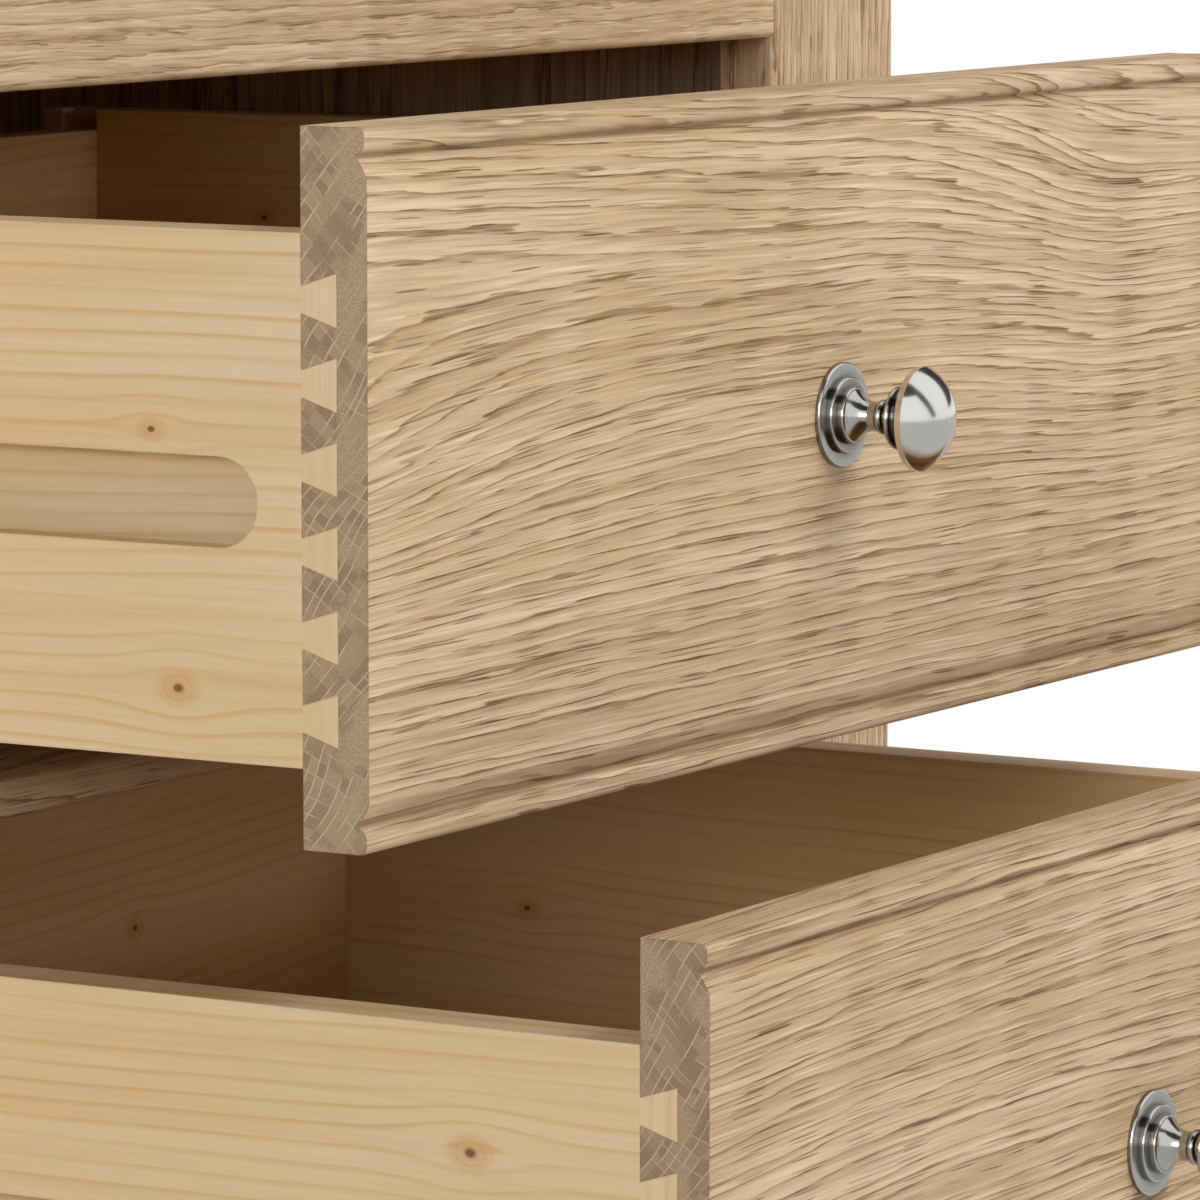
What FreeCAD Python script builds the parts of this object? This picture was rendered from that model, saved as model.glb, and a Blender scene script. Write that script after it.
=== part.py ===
"""Two-drawer oak nightstand with dovetailed drawers that slide on side runners.

X is the width (right is positive), Y runs from the face to the back, and Z is up from the floor.
Every piece is modelled with the face frame's front at Y = 0, with the drawers pulled out as stored.
At the end the whole is moved along Y, so that the origin is under the middle of its box.
"""
import FreeCAD, Part
import math
import os

from FreeCAD import Vector

# Cabinet
cabinet_width = 568.0
cabinet_depth = 400.0
side_panel_thickness = 17.0
back_panel_thickness = 6.0
back_panel_lap = 6.0
bottom_board_thickness = 17.0
bottom_board_housing = 6.0
base_recess = 6.0

# Face frame and rear frame
frame_thickness = 17.0
stile_width = 69.5
top_rail_height = 44.0
bottom_rail_height = 44.0
blade_thickness = 8.8
blade_depth = 45.0
stile_inner_round = 4.0
stile_outer_round = 1.2
rail_round = 2.2
blade_round = 1.5
tenon_thickness = 7.0
tenon_length = 22.0
tenon_shoulder = 7.0
blade_tenon_thickness = 4.4
blade_tenon_length = 12.0
panel_tongue_thickness = 6.0
panel_tongue_length = 8.0
joint_end_gap = 0.5

# Top board and its cleats
top_board_thickness = 22.0
top_overhang = 14.0
top_corner_round = 6.0
top_edge_round = 4.0
cleat_size = 20.0
cleat_screw_count = 3
cleat_screw_grip = 12.0

# Legs
leg_length = 112.0
leg_top_size = 50.0
leg_foot_size = 34.0
leg_inset = 4.0
leg_bolt_radius = 4.0
leg_bolt_depth = 40.0
leg_bolt_tail = 3.0
leg_nut_flats = 13.0
leg_nut_height = 6.5
leg_washer_radius = 8.0
leg_washer_thickness = 1.6
glide_radius = 12.0
glide_height = 4.0
glide_chamfer = 0.8
glide_pin_radius = 1.6
glide_pin_length = 12.0

# Drawers: the same box twice, one above the other
drawer_names = ["lower", "upper"]
drawer_pulls = {"lower": 223.0, "upper": 138.0}
front_height = 158.0
front_thickness = 17.0
front_gap = 1.6
front_side_gap = 1.5
drawer_side_thickness = 14.0
drawer_side_height = 117.0
drawer_side_drop = 23.1
drawer_rear_gap = 5.0
drawer_back_thickness = 12.0
drawer_back_drop = 6.0
drawer_back_housing = 6.0
drawer_side_tail = 6.0
drawer_bottom_thickness = 6.0
drawer_bottom_raise = 10.0
drawer_bottom_lap = 6.0
drawer_bottom_gap = 0.3

# Dovetails between the front and the sides
front_lap = 7.8
tail_count = 6
tail_width = 11.9
tail_slope = 0.32
tail_margin_top = 8.5
tail_margin_bottom = 5.0

# Moulding along the top and bottom edges of a drawer front
bead_setback = 0.7
bead_round = 1.7
bead_flat = 1.3
bead_height = 5.9
quirk_depth = 2.9
quirk_width = 0.4
ovolo_height = 4.6
ovolo_swell = 0.3

# Runners
runner_groove_height = 20.0
runner_groove_depth = 6.0
runner_groove_drop = 59.7
runner_groove_setback = 11.6
runner_top_gap = 0.3
runner_bottom_gap = 0.5
runner_tip_gap = 0.5
runner_face_gap = 0.5
runner_rear_gap = 8.0
bearer_thickness = 18.0
bearer_height = 40.0
bearer_setback = 3.0
bearer_housing = 5.0
runner_screw_count = 3
runner_screw_margin = 45.0

# Knob and its plate, as radii and as heights stacked along the knob's axis
plate_radius = 12.8
plate_rim_height = 1.3
plate_step_radius = 9.4
plate_step_height = 1.5
plate_boss_radius = 7.1
plate_boss_height = 1.8
plate_edge_round = 0.5
knob_foot_radius = 6.3
knob_cone_height = 4.4
knob_cone_hollow = 0.5
knob_neck_radius = 3.6
knob_neck_length = 1.9
knob_collar_radius = 4.3
knob_collar_height = 2.3
knob_throat_radius = 3.3
knob_throat_length = 0.4
knob_disc_radius = 7.7
knob_disc_rise = 1.9
knob_disc_edge = 1.4
knob_back_height = 4.5
knob_head_radius = 12.6
knob_rim_height = 1.6
knob_dome_height = 6.8
knob_screw_radius = 2.0
knob_screw_grip = 8.0
knob_screw_head_radius = 4.0
knob_screw_head_height = 2.6

# Wood screws: cheese heads let into counterbores
screw_head_radius = 3.6
screw_head_height = 2.4
screw_shank_radius = 1.75
hole_clearance = 0.1
runner_screw_grip = 12.0
drawer_bottom_screw_count = 3
drawer_bottom_screw_grip = 18.0
drawer_bottom_screw_margin = 40.0
back_screw_count = 4
back_screw_grip = 12.0
back_screw_margin = 30.0

# Places that the sizes above lead to
cabinet_half = cabinet_width / 2
opening_half = cabinet_half - stile_width
panel_inner = cabinet_half - side_panel_thickness
front_half = opening_half - front_side_gap
side_inner = front_half - drawer_side_thickness
leg_top = glide_height + leg_length
base_level = leg_top - base_recess
opening_height = front_height + 2 * front_gap
opening_levels = {
    "lower": base_level + bottom_rail_height,
    "upper": base_level + bottom_rail_height + opening_height + blade_thickness,
}
top_rail_level = opening_levels["upper"] + opening_height
cabinet_top = top_rail_level + top_rail_height
back_screw_through = back_panel_thickness - screw_head_height
rear_frame_back = cabinet_depth - back_panel_thickness
rear_frame_front = rear_frame_back - frame_thickness

drawer_side_top = front_height - drawer_side_drop
drawer_side_bottom = drawer_side_top - drawer_side_height
drawer_bottom_level = drawer_side_bottom + drawer_bottom_raise
drawer_floor = drawer_bottom_level + drawer_bottom_thickness
drawer_side_rear = rear_frame_front - drawer_rear_gap
drawer_back_rear = drawer_side_rear - drawer_side_tail
drawer_back_front = drawer_back_rear - drawer_back_thickness
tail_depth = front_thickness - front_lap
groove_middle = drawer_side_top - runner_groove_drop
groove_top = groove_middle + runner_groove_height / 2
groove_tip = front_thickness + runner_groove_setback
groove_floor = front_half - runner_groove_depth

bearer_inner = opening_half + bearer_setback
runner_inner = groove_floor + runner_face_gap
runner_height = runner_groove_height - runner_top_gap - runner_bottom_gap
runner_tip = groove_tip + runner_tip_gap
runner_rear = rear_frame_front - runner_rear_gap
knob_seat = plate_rim_height + plate_step_height + plate_boss_height

RIGHT = Vector(1, 0, 0)
BACK = Vector(0, 1, 0)
FORWARD = Vector(0, -1, 0)
UP = Vector(0, 0, 1)
HALF_ROOT = math.sqrt(0.5)
SAME_POINT = 0.001

nodes = {}


def block(x0, x1, y0, y1, z0, z1):
    """Box between two corners."""
    return Part.makeBox(x1 - x0, y1 - y0, z1 - z0, Vector(x0, y0, z0))


def mirrored(shape):
    """The same piece on the other side of the cabinet."""
    return shape.mirror(Vector(0, 0, 0), RIGHT)


def softened(shape, radius, chosen):
    """Rounds the straight edges whose middle the test named chosen accepts."""
    edges = [edge for edge in shape.Edges if chosen(edge.CenterOfMass)]
    return shape.makeFillet(radius, edges)


def near(a, b):
    """Tells whether two lengths are the same place."""
    return abs(a - b) < SAME_POINT


def profile(start, *steps):
    """Closed face: each step is a point for a straight edge, or a pair of points for an arc."""
    edges = []
    here = start
    for step in steps:
        if isinstance(step, tuple):
            edges.append(Part.Arc(here, *step).toShape())
            here = step[1]
        else:
            edges.append(Part.LineSegment(here, step).toShape())
            here = step
    if not here.isEqual(start, SAME_POINT):
        edges.append(Part.LineSegment(here, start).toShape())
    return Part.Face(Part.Wire(edges))


def spread(first, last, count):
    """Evenly spaced places from the first to the last."""
    return [first + (last - first) * i / (count - 1) for i in range(count)]


def screw(seat, aim, grip, through=0.0):
    """Wood screw with the flat under its head at seat; it passes one board and grips the next."""
    head = Part.makeCylinder(screw_head_radius, screw_head_height, seat - aim * screw_head_height, aim)
    shank = Part.makeCylinder(screw_shank_radius, through + grip, seat, aim)
    return head.fuse(shank).removeSplitter()


def screw_hole(seat, aim, grip, through=0.0):
    """Counterbore and pilot hole for such a screw, a little wider than it."""
    deep = 2 * screw_head_height
    head = Part.makeCylinder(screw_head_radius + hole_clearance, deep, seat - aim * deep, aim)
    shank = Part.makeCylinder(screw_shank_radius + hole_clearance, through + grip, seat, aim)
    return head.fuse(shank)


def keep(name, solids):
    """Stores a node: one solid, or a group of separate solids."""
    nodes[name] = solids[0] if len(solids) == 1 else Part.makeCompound(solids)


def keep_pair(name, right):
    """Stores a right-hand piece and its mirror image."""
    keep(name + "_right", [right])
    keep(name + "_left", [mirrored(right)])


def rail_with_tenons(y0, low, high):
    """Rail between the stiles, with a stub tenon at each end."""
    rail = block(-opening_half, opening_half, y0, y0 + frame_thickness, low, high)
    return rail, rail_tenons(y0, low, high, 0.0)


def rail_tenons(y0, low, high, end_gap):
    """Bar through both tenons of a rail; with an end gap it is the space of their mortises."""
    reach = opening_half + tenon_length + end_gap
    front = y0 + (frame_thickness - tenon_thickness) / 2
    return block(-reach, reach, front, front + tenon_thickness, low + tenon_shoulder, high - tenon_shoulder)


def blade_tenons(end_gap):
    """Bar through both tongues of the drawer blade, or the space of their mortises."""
    reach = opening_half + blade_tenon_length + end_gap
    front = (frame_thickness - tenon_thickness) / 2
    low = opening_levels["upper"] - blade_thickness / 2 - blade_tenon_thickness / 2
    return block(-reach, reach, front, front + tenon_thickness, low, low + blade_tenon_thickness)


def bearer(name, end_gap=0.0):
    """Right-hand bearer of one drawer, housed in the front and rear stiles."""
    middle = opening_levels[name] + front_gap + groove_middle
    front = frame_thickness - bearer_housing
    rear = rear_frame_front + bearer_housing
    return block(bearer_inner, bearer_inner + bearer_thickness, front - end_gap, rear + end_gap,
                 middle - bearer_height / 2, middle + bearer_height / 2)


def panel_tongue(end_gap):
    """Tongue along the front edge of the right-hand side panel, or its groove."""
    middle = cabinet_half - side_panel_thickness / 2
    return block(middle - panel_tongue_thickness / 2, middle + panel_tongue_thickness / 2,
                 frame_thickness - panel_tongue_length - end_gap, frame_thickness, base_level, cabinet_top)


def back_screw_seats():
    """Seats of the back panel's screws, in the rear stiles, right-hand side."""
    x = (opening_half + panel_inner) / 2
    y = cabinet_depth - screw_head_height
    levels = spread(base_level + back_screw_margin, cabinet_top - back_screw_margin, back_screw_count)
    return [Vector(x, y, z) for z in levels]


def make_frames():
    """Front stiles, rear stiles, rails and the blade between the drawers."""
    stile = block(opening_half, cabinet_half, 0, frame_thickness, base_level, cabinet_top)
    stile = softened(stile, stile_inner_round, lambda c: near(c.x, opening_half) and near(c.y, 0))
    stile = softened(stile, stile_outer_round, lambda c: near(c.x, cabinet_half) and near(c.y, 0))
    rear_stile = block(opening_half, panel_inner, rear_frame_front, rear_frame_back, base_level, cabinet_top)
    bottom_rail_top = base_level + bottom_rail_height
    rails = {
        "top_rail_front": (0, top_rail_level, cabinet_top),
        "bottom_rail_front": (0, base_level, bottom_rail_top),
        "top_rail_rear": (rear_frame_front, top_rail_level, cabinet_top),
        "bottom_rail_rear": (rear_frame_front, base_level, bottom_rail_top),
    }
    for name, (y0, low, high) in rails.items():
        rail, tenons = rail_with_tenons(y0, low, high)
        inner = low if high == cabinet_top else high
        rail = softened(rail, rail_round, lambda c: near(c.y, y0) and near(c.z, inner))
        keep(name, [rail.fuse(tenons).removeSplitter()])
        mortises = rail_tenons(y0, low, high, joint_end_gap)
        if y0 == 0:
            stile = stile.cut(mortises)
        else:
            rear_stile = rear_stile.cut(mortises)

    blade_top = opening_levels["upper"]
    blade_bottom = blade_top - blade_thickness
    blade = block(-opening_half, opening_half, 0, blade_depth, blade_bottom, blade_top)
    blade = softened(blade, blade_round, lambda c: near(c.y, 0) and not near(abs(c.x), opening_half))
    keep("drawer_blade", [blade.fuse(blade_tenons(0.0)).removeSplitter()])

    stile = stile.cut(blade_tenons(joint_end_gap)).cut(panel_tongue(joint_end_gap))
    for name in drawer_names:
        socket = bearer(name, joint_end_gap)
        stile = stile.cut(socket)
        rear_stile = rear_stile.cut(socket)
    for seat in back_screw_seats():
        rear_stile = rear_stile.cut(screw_hole(seat, FORWARD, back_screw_grip, back_screw_through))
    keep_pair("front_stile", stile)
    keep_pair("rear_stile", rear_stile)


def cleat_screw_places():
    """Seats and directions of the right-hand cleat's screws: some go up, some go out sideways."""
    margin = (rear_frame_front - frame_thickness) / (2 * cleat_screw_count)
    upward = spread(frame_thickness + margin, rear_frame_front - margin, cleat_screw_count)
    apart = 2 * screw_head_radius + cleat_size
    cleat_middle = panel_inner - cleat_size / 2
    level_middle = cabinet_top - cleat_size / 2
    places = []
    for y in upward:
        places.append((Vector(cleat_middle, y, cabinet_top - cleat_size + screw_head_height), UP))
        places.append((Vector(panel_inner - cleat_size + screw_head_height, y + apart, level_middle), RIGHT))
    return places


def make_panels():
    """Side panels, back panel, bottom board, top board and the cleats that hold the top."""
    through = cleat_size - screw_head_height
    panel = block(panel_inner, cabinet_half, frame_thickness, cabinet_depth, base_level, cabinet_top)
    panel = panel.fuse(panel_tongue(0.0)).removeSplitter()
    back_half = panel_inner + back_panel_lap
    back = block(-back_half, back_half, rear_frame_back, cabinet_depth, base_level, cabinet_top)
    panel = panel.cut(back)
    board_half = panel_inner + bottom_board_housing
    board = block(-board_half, board_half, frame_thickness, rear_frame_front, leg_top,
                  leg_top + bottom_board_thickness)
    panel = panel.cut(board)
    for place in leg_places():
        hole = Part.makeCylinder(leg_bolt_radius + hole_clearance, bottom_board_thickness, place, UP)
        board = board.cut(hole)

    top_level = cabinet_top + top_board_thickness
    top_half = cabinet_half + top_overhang
    top = block(-top_half, top_half, -top_overhang, cabinet_depth, cabinet_top, top_level)
    middle_level = (cabinet_top + top_level) / 2
    top = softened(top, top_corner_round, lambda c: near(c.y, -top_overhang) and near(c.z, middle_level))
    for level in (cabinet_top, top_level):
        top = softened(top, top_edge_round, lambda c: near(c.z, level) and not near(c.y, cabinet_depth))

    cleat = block(panel_inner - cleat_size, panel_inner, frame_thickness, rear_frame_front,
                  cabinet_top - cleat_size, cabinet_top)
    screws = []
    for seat, aim in cleat_screw_places():
        hole = screw_hole(seat, aim, cleat_screw_grip, through)
        cleat = cleat.cut(hole)
        if aim == UP:
            top = top.cut(hole).cut(mirrored(hole))
        else:
            panel = panel.cut(hole)
        screws.append(screw(seat, aim, cleat_screw_grip, through))
    back_screws = []
    for seat in back_screw_seats():
        hole = screw_hole(seat, FORWARD, back_screw_grip, back_screw_through)
        back = back.cut(hole).cut(mirrored(hole))
        back_screws.append(screw(seat, FORWARD, back_screw_grip, back_screw_through))

    keep_pair("side_panel", panel)
    keep("back_panel", [back])
    keep("bottom_board", [board])
    keep("top_board", [top])
    keep_pair("top_cleat", cleat)
    keep("cleat_screws", screws + [mirrored(one) for one in screws])
    keep("back_screws", back_screws + [mirrored(one) for one in back_screws])


def leg_places():
    """Middle of each leg's top: front right, front left, rear right, rear left."""
    x = panel_inner - leg_inset - leg_top_size / 2
    rows = [frame_thickness + leg_inset + leg_top_size / 2, rear_frame_front - leg_inset - leg_top_size / 2]
    return [Vector(side * x, y, leg_top) for y in rows for side in (1, -1)]


def square(middle, size, level):
    """Square outline on a level, about a point."""
    half = size / 2
    corners = [(-half, -half), (half, -half), (half, half), (-half, half), (-half, -half)]
    return Part.makePolygon([Vector(middle.x + x, middle.y + y, level) for x, y in corners])


def make_legs():
    """Tapered legs, with the hanger bolt, washer and nut that hold each, and a glide under it."""
    names = ["leg_front_right", "leg_front_left", "leg_rear_right", "leg_rear_left"]
    board_top = leg_top + bottom_board_thickness
    nut_level = board_top + leg_washer_thickness
    bolt_top = nut_level + leg_nut_height + leg_bolt_tail
    bolts = []
    washers = []
    nuts = []
    glides = []
    for name, place in zip(names, leg_places()):
        outlines = [square(place, leg_foot_size, glide_height), square(place, leg_top_size, leg_top)]
        leg = Part.makeLoft(outlines, True, True)
        bolt_foot = Vector(place.x, place.y, leg_top - leg_bolt_depth)
        clear_radius = leg_bolt_radius + hole_clearance
        leg = leg.cut(Part.makeCylinder(clear_radius, leg_bolt_depth, bolt_foot, UP))
        floor_point = Vector(place.x, place.y, 0)
        pin_foot = Vector(place.x, place.y, glide_height)
        leg = leg.cut(Part.makeCylinder(glide_pin_radius + hole_clearance, glide_pin_length, pin_foot, UP))
        keep(name, [leg])

        disc = Part.makeCylinder(glide_radius, glide_height, floor_point, UP)
        rim = [edge for edge in disc.Edges if near(edge.CenterOfMass.z, 0)]
        disc = disc.makeChamfer(glide_chamfer, rim)
        pin = Part.makeCylinder(glide_pin_radius, glide_pin_length, pin_foot, UP)
        glides.append(disc.fuse(pin).removeSplitter())

        bolts.append(Part.makeCylinder(leg_bolt_radius, bolt_top - bolt_foot.z, bolt_foot, UP))
        seat = Vector(place.x, place.y, board_top)
        washer = Part.makeCylinder(leg_washer_radius, leg_washer_thickness, seat, UP)
        washers.append(washer.cut(Part.makeCylinder(clear_radius, leg_washer_thickness, seat, UP)))
        nut_foot = Vector(place.x, place.y, nut_level)
        corner = leg_nut_flats / math.sqrt(3)
        hexagon = [nut_foot + Vector(corner * math.cos(a), corner * math.sin(a), 0)
                   for a in [math.radians(60 * i) for i in range(7)]]
        nut = Part.Face(Part.makePolygon(hexagon)).extrude(UP * leg_nut_height)
        nuts.append(nut.cut(Part.makeCylinder(clear_radius, leg_nut_height, nut_foot, UP)))
    keep("leg_bolts", bolts)
    keep("leg_washers", washers)
    keep("leg_nuts", nuts)
    keep("leg_glides", glides)


def make_runners():
    """Bearers, and on each a runner strip with a round tip and three screws."""
    screws = []
    for name in drawer_names:
        top = opening_levels[name] + front_gap + groove_top - runner_top_gap
        low = top - runner_height
        radius = runner_height / 2
        tip_middle = runner_tip + radius
        strip = profile(
            Vector(runner_inner, tip_middle, low),
            Vector(runner_inner, runner_rear, low),
            Vector(runner_inner, runner_rear, top),
            Vector(runner_inner, tip_middle, top),
            (Vector(runner_inner, runner_tip, low + radius), Vector(runner_inner, tip_middle, low)),
        ).extrude(RIGHT * (bearer_inner - runner_inner))
        support = bearer(name)
        through = bearer_inner - runner_inner - screw_head_height
        first = runner_tip + runner_screw_margin
        last = runner_rear - runner_screw_margin
        for y in spread(first, last, runner_screw_count):
            seat = Vector(runner_inner + screw_head_height, y, low + radius)
            hole = screw_hole(seat, RIGHT, runner_screw_grip, through)
            strip = strip.cut(hole)
            support = support.cut(hole)
            screws.append(screw(seat, RIGHT, runner_screw_grip, through))
        keep_pair("runner_" + name, strip)
        keep_pair("bearer_" + name, support)
    keep("runner_screws", screws + [mirrored(one) for one in screws])


def moulded_edge(level):
    """Points and arc middles of a front's moulded edge, from its bead to its flat face.

    level turns a distance from the edge into a height. Each entry is an arc's middle point, or None
    for a straight stretch, followed by the point where it ends.
    """
    nose = bead_round + bead_flat
    slope_start = bead_height + quirk_width
    face_start = slope_start + ovolo_height
    bend = bead_round * (1 - HALF_ROOT)
    bead_drop = bead_height - nose
    bead_fall = quirk_depth - bead_setback

    def at(depth, distance):
        return Vector(-front_half, depth, level(distance))

    return [
        (None, at(bead_setback + bead_round, 0)),
        (at(bead_setback + bend, bend), at(bead_setback, bead_round)),
        (None, at(bead_setback, nose)),
        (at(bead_setback + bead_fall * (1 - HALF_ROOT), nose + bead_drop * HALF_ROOT),
         at(quirk_depth, bead_height)),
        (None, at(quirk_depth, slope_start)),
        (at(quirk_depth / 2 - ovolo_swell, (slope_start + face_start) / 2), at(0, face_start)),
    ]


def front_board():
    """Drawer front before its sockets: the moulded section drawn out along its width."""
    bottom_edge = moulded_edge(lambda distance: distance)
    top_edge = moulded_edge(lambda distance: front_height - distance)
    steps = []
    for middle, end in bottom_edge:
        steps.append(end if middle is None else (middle, end))
    steps.append(top_edge[-1][1])
    for (middle, _), (_, end) in zip(reversed(top_edge), reversed(top_edge[:-1])):
        steps.append(end if middle is None else (middle, end))
    steps.append(Vector(-front_half, front_thickness, front_height))
    start = Vector(-front_half, front_thickness, 0)
    return profile(start, *steps).extrude(RIGHT * (2 * front_half))


def tails():
    """The right-hand side's dovetail tails, narrow at the front's back face and wider inside it."""
    narrow = tail_width - 2 * tail_slope * tail_depth
    first = drawer_side_bottom + tail_margin_bottom + tail_width / 2
    last = drawer_side_top - tail_margin_top - tail_width / 2
    found = []
    for z in spread(first, last, tail_count):
        face = profile(
            Vector(side_inner, front_thickness, z - narrow / 2),
            Vector(side_inner, front_lap, z - tail_width / 2),
            Vector(side_inner, front_lap, z + tail_width / 2),
            Vector(side_inner, front_thickness, z + narrow / 2),
        )
        found.append(face.extrude(RIGHT * drawer_side_thickness))
    return found


def runner_groove():
    """Routed groove in the outside of the right-hand drawer side, round at its front end."""
    radius = runner_groove_height / 2
    low = groove_middle - radius
    middle = groove_tip + radius
    return profile(
        Vector(groove_floor, middle, low),
        Vector(groove_floor, drawer_side_rear, low),
        Vector(groove_floor, drawer_side_rear, groove_top),
        Vector(groove_floor, middle, groove_top),
        (Vector(groove_floor, groove_tip, groove_middle), Vector(groove_floor, middle, low)),
    ).extrude(RIGHT * runner_groove_depth)


def drawer_bottom(gap):
    """Plywood bottom; with no gap it is the space of the grooves that it lies in."""
    half = side_inner + drawer_bottom_lap - gap
    tongue_half = side_inner - drawer_bottom_gap - gap
    tongue_front = front_thickness - drawer_bottom_lap + gap
    main = block(-half, half, front_thickness, drawer_back_rear, drawer_bottom_level, drawer_floor)
    tongue = block(-tongue_half, tongue_half, tongue_front, front_thickness,
                   drawer_bottom_level, drawer_floor)
    return main.fuse(tongue).removeSplitter()


def plate_profile():
    """Half section of the knob's plate: a rimmed disc, a step and a boss, about the knob's axis."""
    bore = knob_screw_radius + hole_clearance
    bend = plate_edge_round * (1 - HALF_ROOT)

    def at(radius, height):
        return Vector(radius, -height, 0)

    steps = [at(plate_radius, 0)]
    height = 0.0
    rings = [(plate_radius, plate_rim_height, plate_step_radius),
             (plate_step_radius, plate_step_height, plate_boss_radius),
             (plate_boss_radius, plate_boss_height, bore)]
    for radius, rise, inner in rings:
        height += rise
        steps.append(at(radius, height - plate_edge_round))
        steps.append((at(radius - bend, height - bend), at(radius - plate_edge_round, height)))
        steps.append(at(inner, height))
    return profile(at(bore, 0), *steps)


def knob_profile():
    """Half section of the knob: hollowed cone, neck, collar, disc, hollow back and domed head."""
    bore = knob_screw_radius + hole_clearance
    cone_end = knob_seat + knob_cone_height
    neck_end = cone_end + knob_neck_length
    collar_end = neck_end + knob_collar_height
    throat_end = collar_end + knob_throat_length
    disc_start = throat_end + knob_disc_rise
    disc_end = disc_start + knob_disc_edge
    rim_start = disc_end + knob_back_height
    rim_end = rim_start + knob_rim_height
    crown = rim_end + knob_dome_height
    cone_via = (knob_foot_radius + knob_neck_radius) / 2 - knob_cone_hollow
    disc_shoulder = knob_disc_radius - knob_disc_edge / 2
    dome_sphere = (knob_head_radius ** 2 + knob_dome_height ** 2) / (2 * knob_dome_height)
    dome_via = knob_head_radius / 2
    dome_via_height = crown - dome_sphere + math.sqrt(dome_sphere ** 2 - dome_via ** 2)

    def at(radius, height):
        return Vector(radius, -height, 0)

    return profile(
        at(bore, knob_seat),
        at(knob_foot_radius, knob_seat),
        (at(cone_via, (knob_seat + cone_end) / 2), at(knob_neck_radius, cone_end)),
        at(knob_neck_radius, neck_end),
        at(knob_throat_radius, neck_end),
        (at(knob_collar_radius, (neck_end + collar_end) / 2), at(knob_throat_radius, collar_end)),
        at(knob_throat_radius, throat_end),
        at(disc_shoulder, disc_start),
        (at(knob_disc_radius, disc_start + knob_disc_edge / 2), at(disc_shoulder, disc_end)),
        (at((disc_shoulder + knob_head_radius) / 2 - knob_back_height / 12,
            (disc_end + rim_start) / 2 + knob_back_height / 12), at(knob_head_radius, rim_start)),
        at(knob_head_radius, rim_end),
        (at(dome_via, dome_via_height), at(0, crown)),
        at(0, knob_seat + knob_screw_grip),
        at(bore, knob_seat + knob_screw_grip),
    )


def drawer_pieces():
    """The pieces of one drawer, closed, with the bottom edge of its front at height 0."""
    side = block(side_inner, front_half, front_thickness, drawer_side_rear,
                 drawer_side_bottom, drawer_side_top)
    front = front_board()
    for tail in tails():
        side = side.fuse(tail)
        front = front.cut(tail).cut(mirrored(tail))
    side = side.removeSplitter().cut(runner_groove())

    floor_space = drawer_bottom(0.0)
    front = front.cut(floor_space)
    groove_half = side_inner + drawer_bottom_lap
    side = side.cut(block(-groove_half, groove_half, front_thickness, drawer_side_rear,
                          drawer_bottom_level, drawer_floor))
    housing_half = side_inner + drawer_back_housing
    side = side.cut(block(-housing_half, housing_half, drawer_back_front, drawer_back_rear,
                          drawer_floor, drawer_side_top))
    back = block(-housing_half, housing_half, drawer_back_front, drawer_back_rear,
                 drawer_floor, drawer_side_top - drawer_back_drop)
    floor = drawer_bottom(drawer_bottom_gap)

    screws = []
    reach = side_inner - drawer_bottom_screw_margin
    through = drawer_bottom_thickness - screw_head_height
    for x in spread(-reach, reach, drawer_bottom_screw_count):
        seat = Vector(x, (drawer_back_front + drawer_back_rear) / 2, drawer_bottom_level + screw_head_height)
        hole = screw_hole(seat, UP, drawer_bottom_screw_grip, through)
        floor = floor.cut(hole)
        back = back.cut(hole)
        screws.append(screw(seat, UP, drawer_bottom_screw_grip, through))

    knob_middle = Vector(0, 0, front_height / 2)
    bolt_seat = knob_middle + BACK * front_thickness
    bolt_length = front_thickness + knob_seat + knob_screw_grip
    bolt_hole = Part.makeCylinder(knob_screw_radius + hole_clearance, front_thickness, bolt_seat, FORWARD)
    bolt = Part.makeCylinder(knob_screw_radius, bolt_length, bolt_seat, FORWARD)
    bolt_head = Part.makeCylinder(knob_screw_head_radius, knob_screw_head_height, bolt_seat, BACK)
    turned = {}
    for name, section in (("plate", plate_profile()), ("knob", knob_profile())):
        turned[name] = section.revolve(Vector(0, 0, 0), BACK, 360)
        turned[name].translate(knob_middle)

    return {
        "drawer_front": [front.cut(bolt_hole)],
        "drawer_side_right": [side],
        "drawer_side_left": [mirrored(side)],
        "drawer_back": [back],
        "drawer_bottom": [floor],
        "drawer_bottom_screws": screws,
        "knob_plate": [turned["plate"]],
        "knob": [turned["knob"]],
        "knob_screw": [bolt.fuse(bolt_head).removeSplitter()],
    }


def make_drawers():
    """Both drawers, each pulled out of its opening by its own length."""
    pieces = drawer_pieces()
    for name in drawer_names:
        place = Vector(0, -drawer_pulls[name], opening_levels[name] + front_gap)
        for piece, solids in pieces.items():
            moved = [solid.translated(place) for solid in solids]
            keep(piece + "_" + name, moved)


def save_all():
    """Centres the model's box over the origin and writes one file per node."""
    box = FreeCAD.BoundBox()
    for shape in nodes.values():
        box.add(shape.optimalBoundingBox(False))
    shift = Vector(0, -box.Center.y, 0)
    os.makedirs("parts", exist_ok=True)
    for name, shape in nodes.items():
        shape.translated(shift).exportStep(os.path.join("parts", name + ".step"))
    print("nodes", len(nodes), "moved along Y by", round(shift.y, 4))


make_frames()
make_panels()
make_legs()
make_runners()
make_drawers()
save_all()
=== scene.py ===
import math

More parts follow.
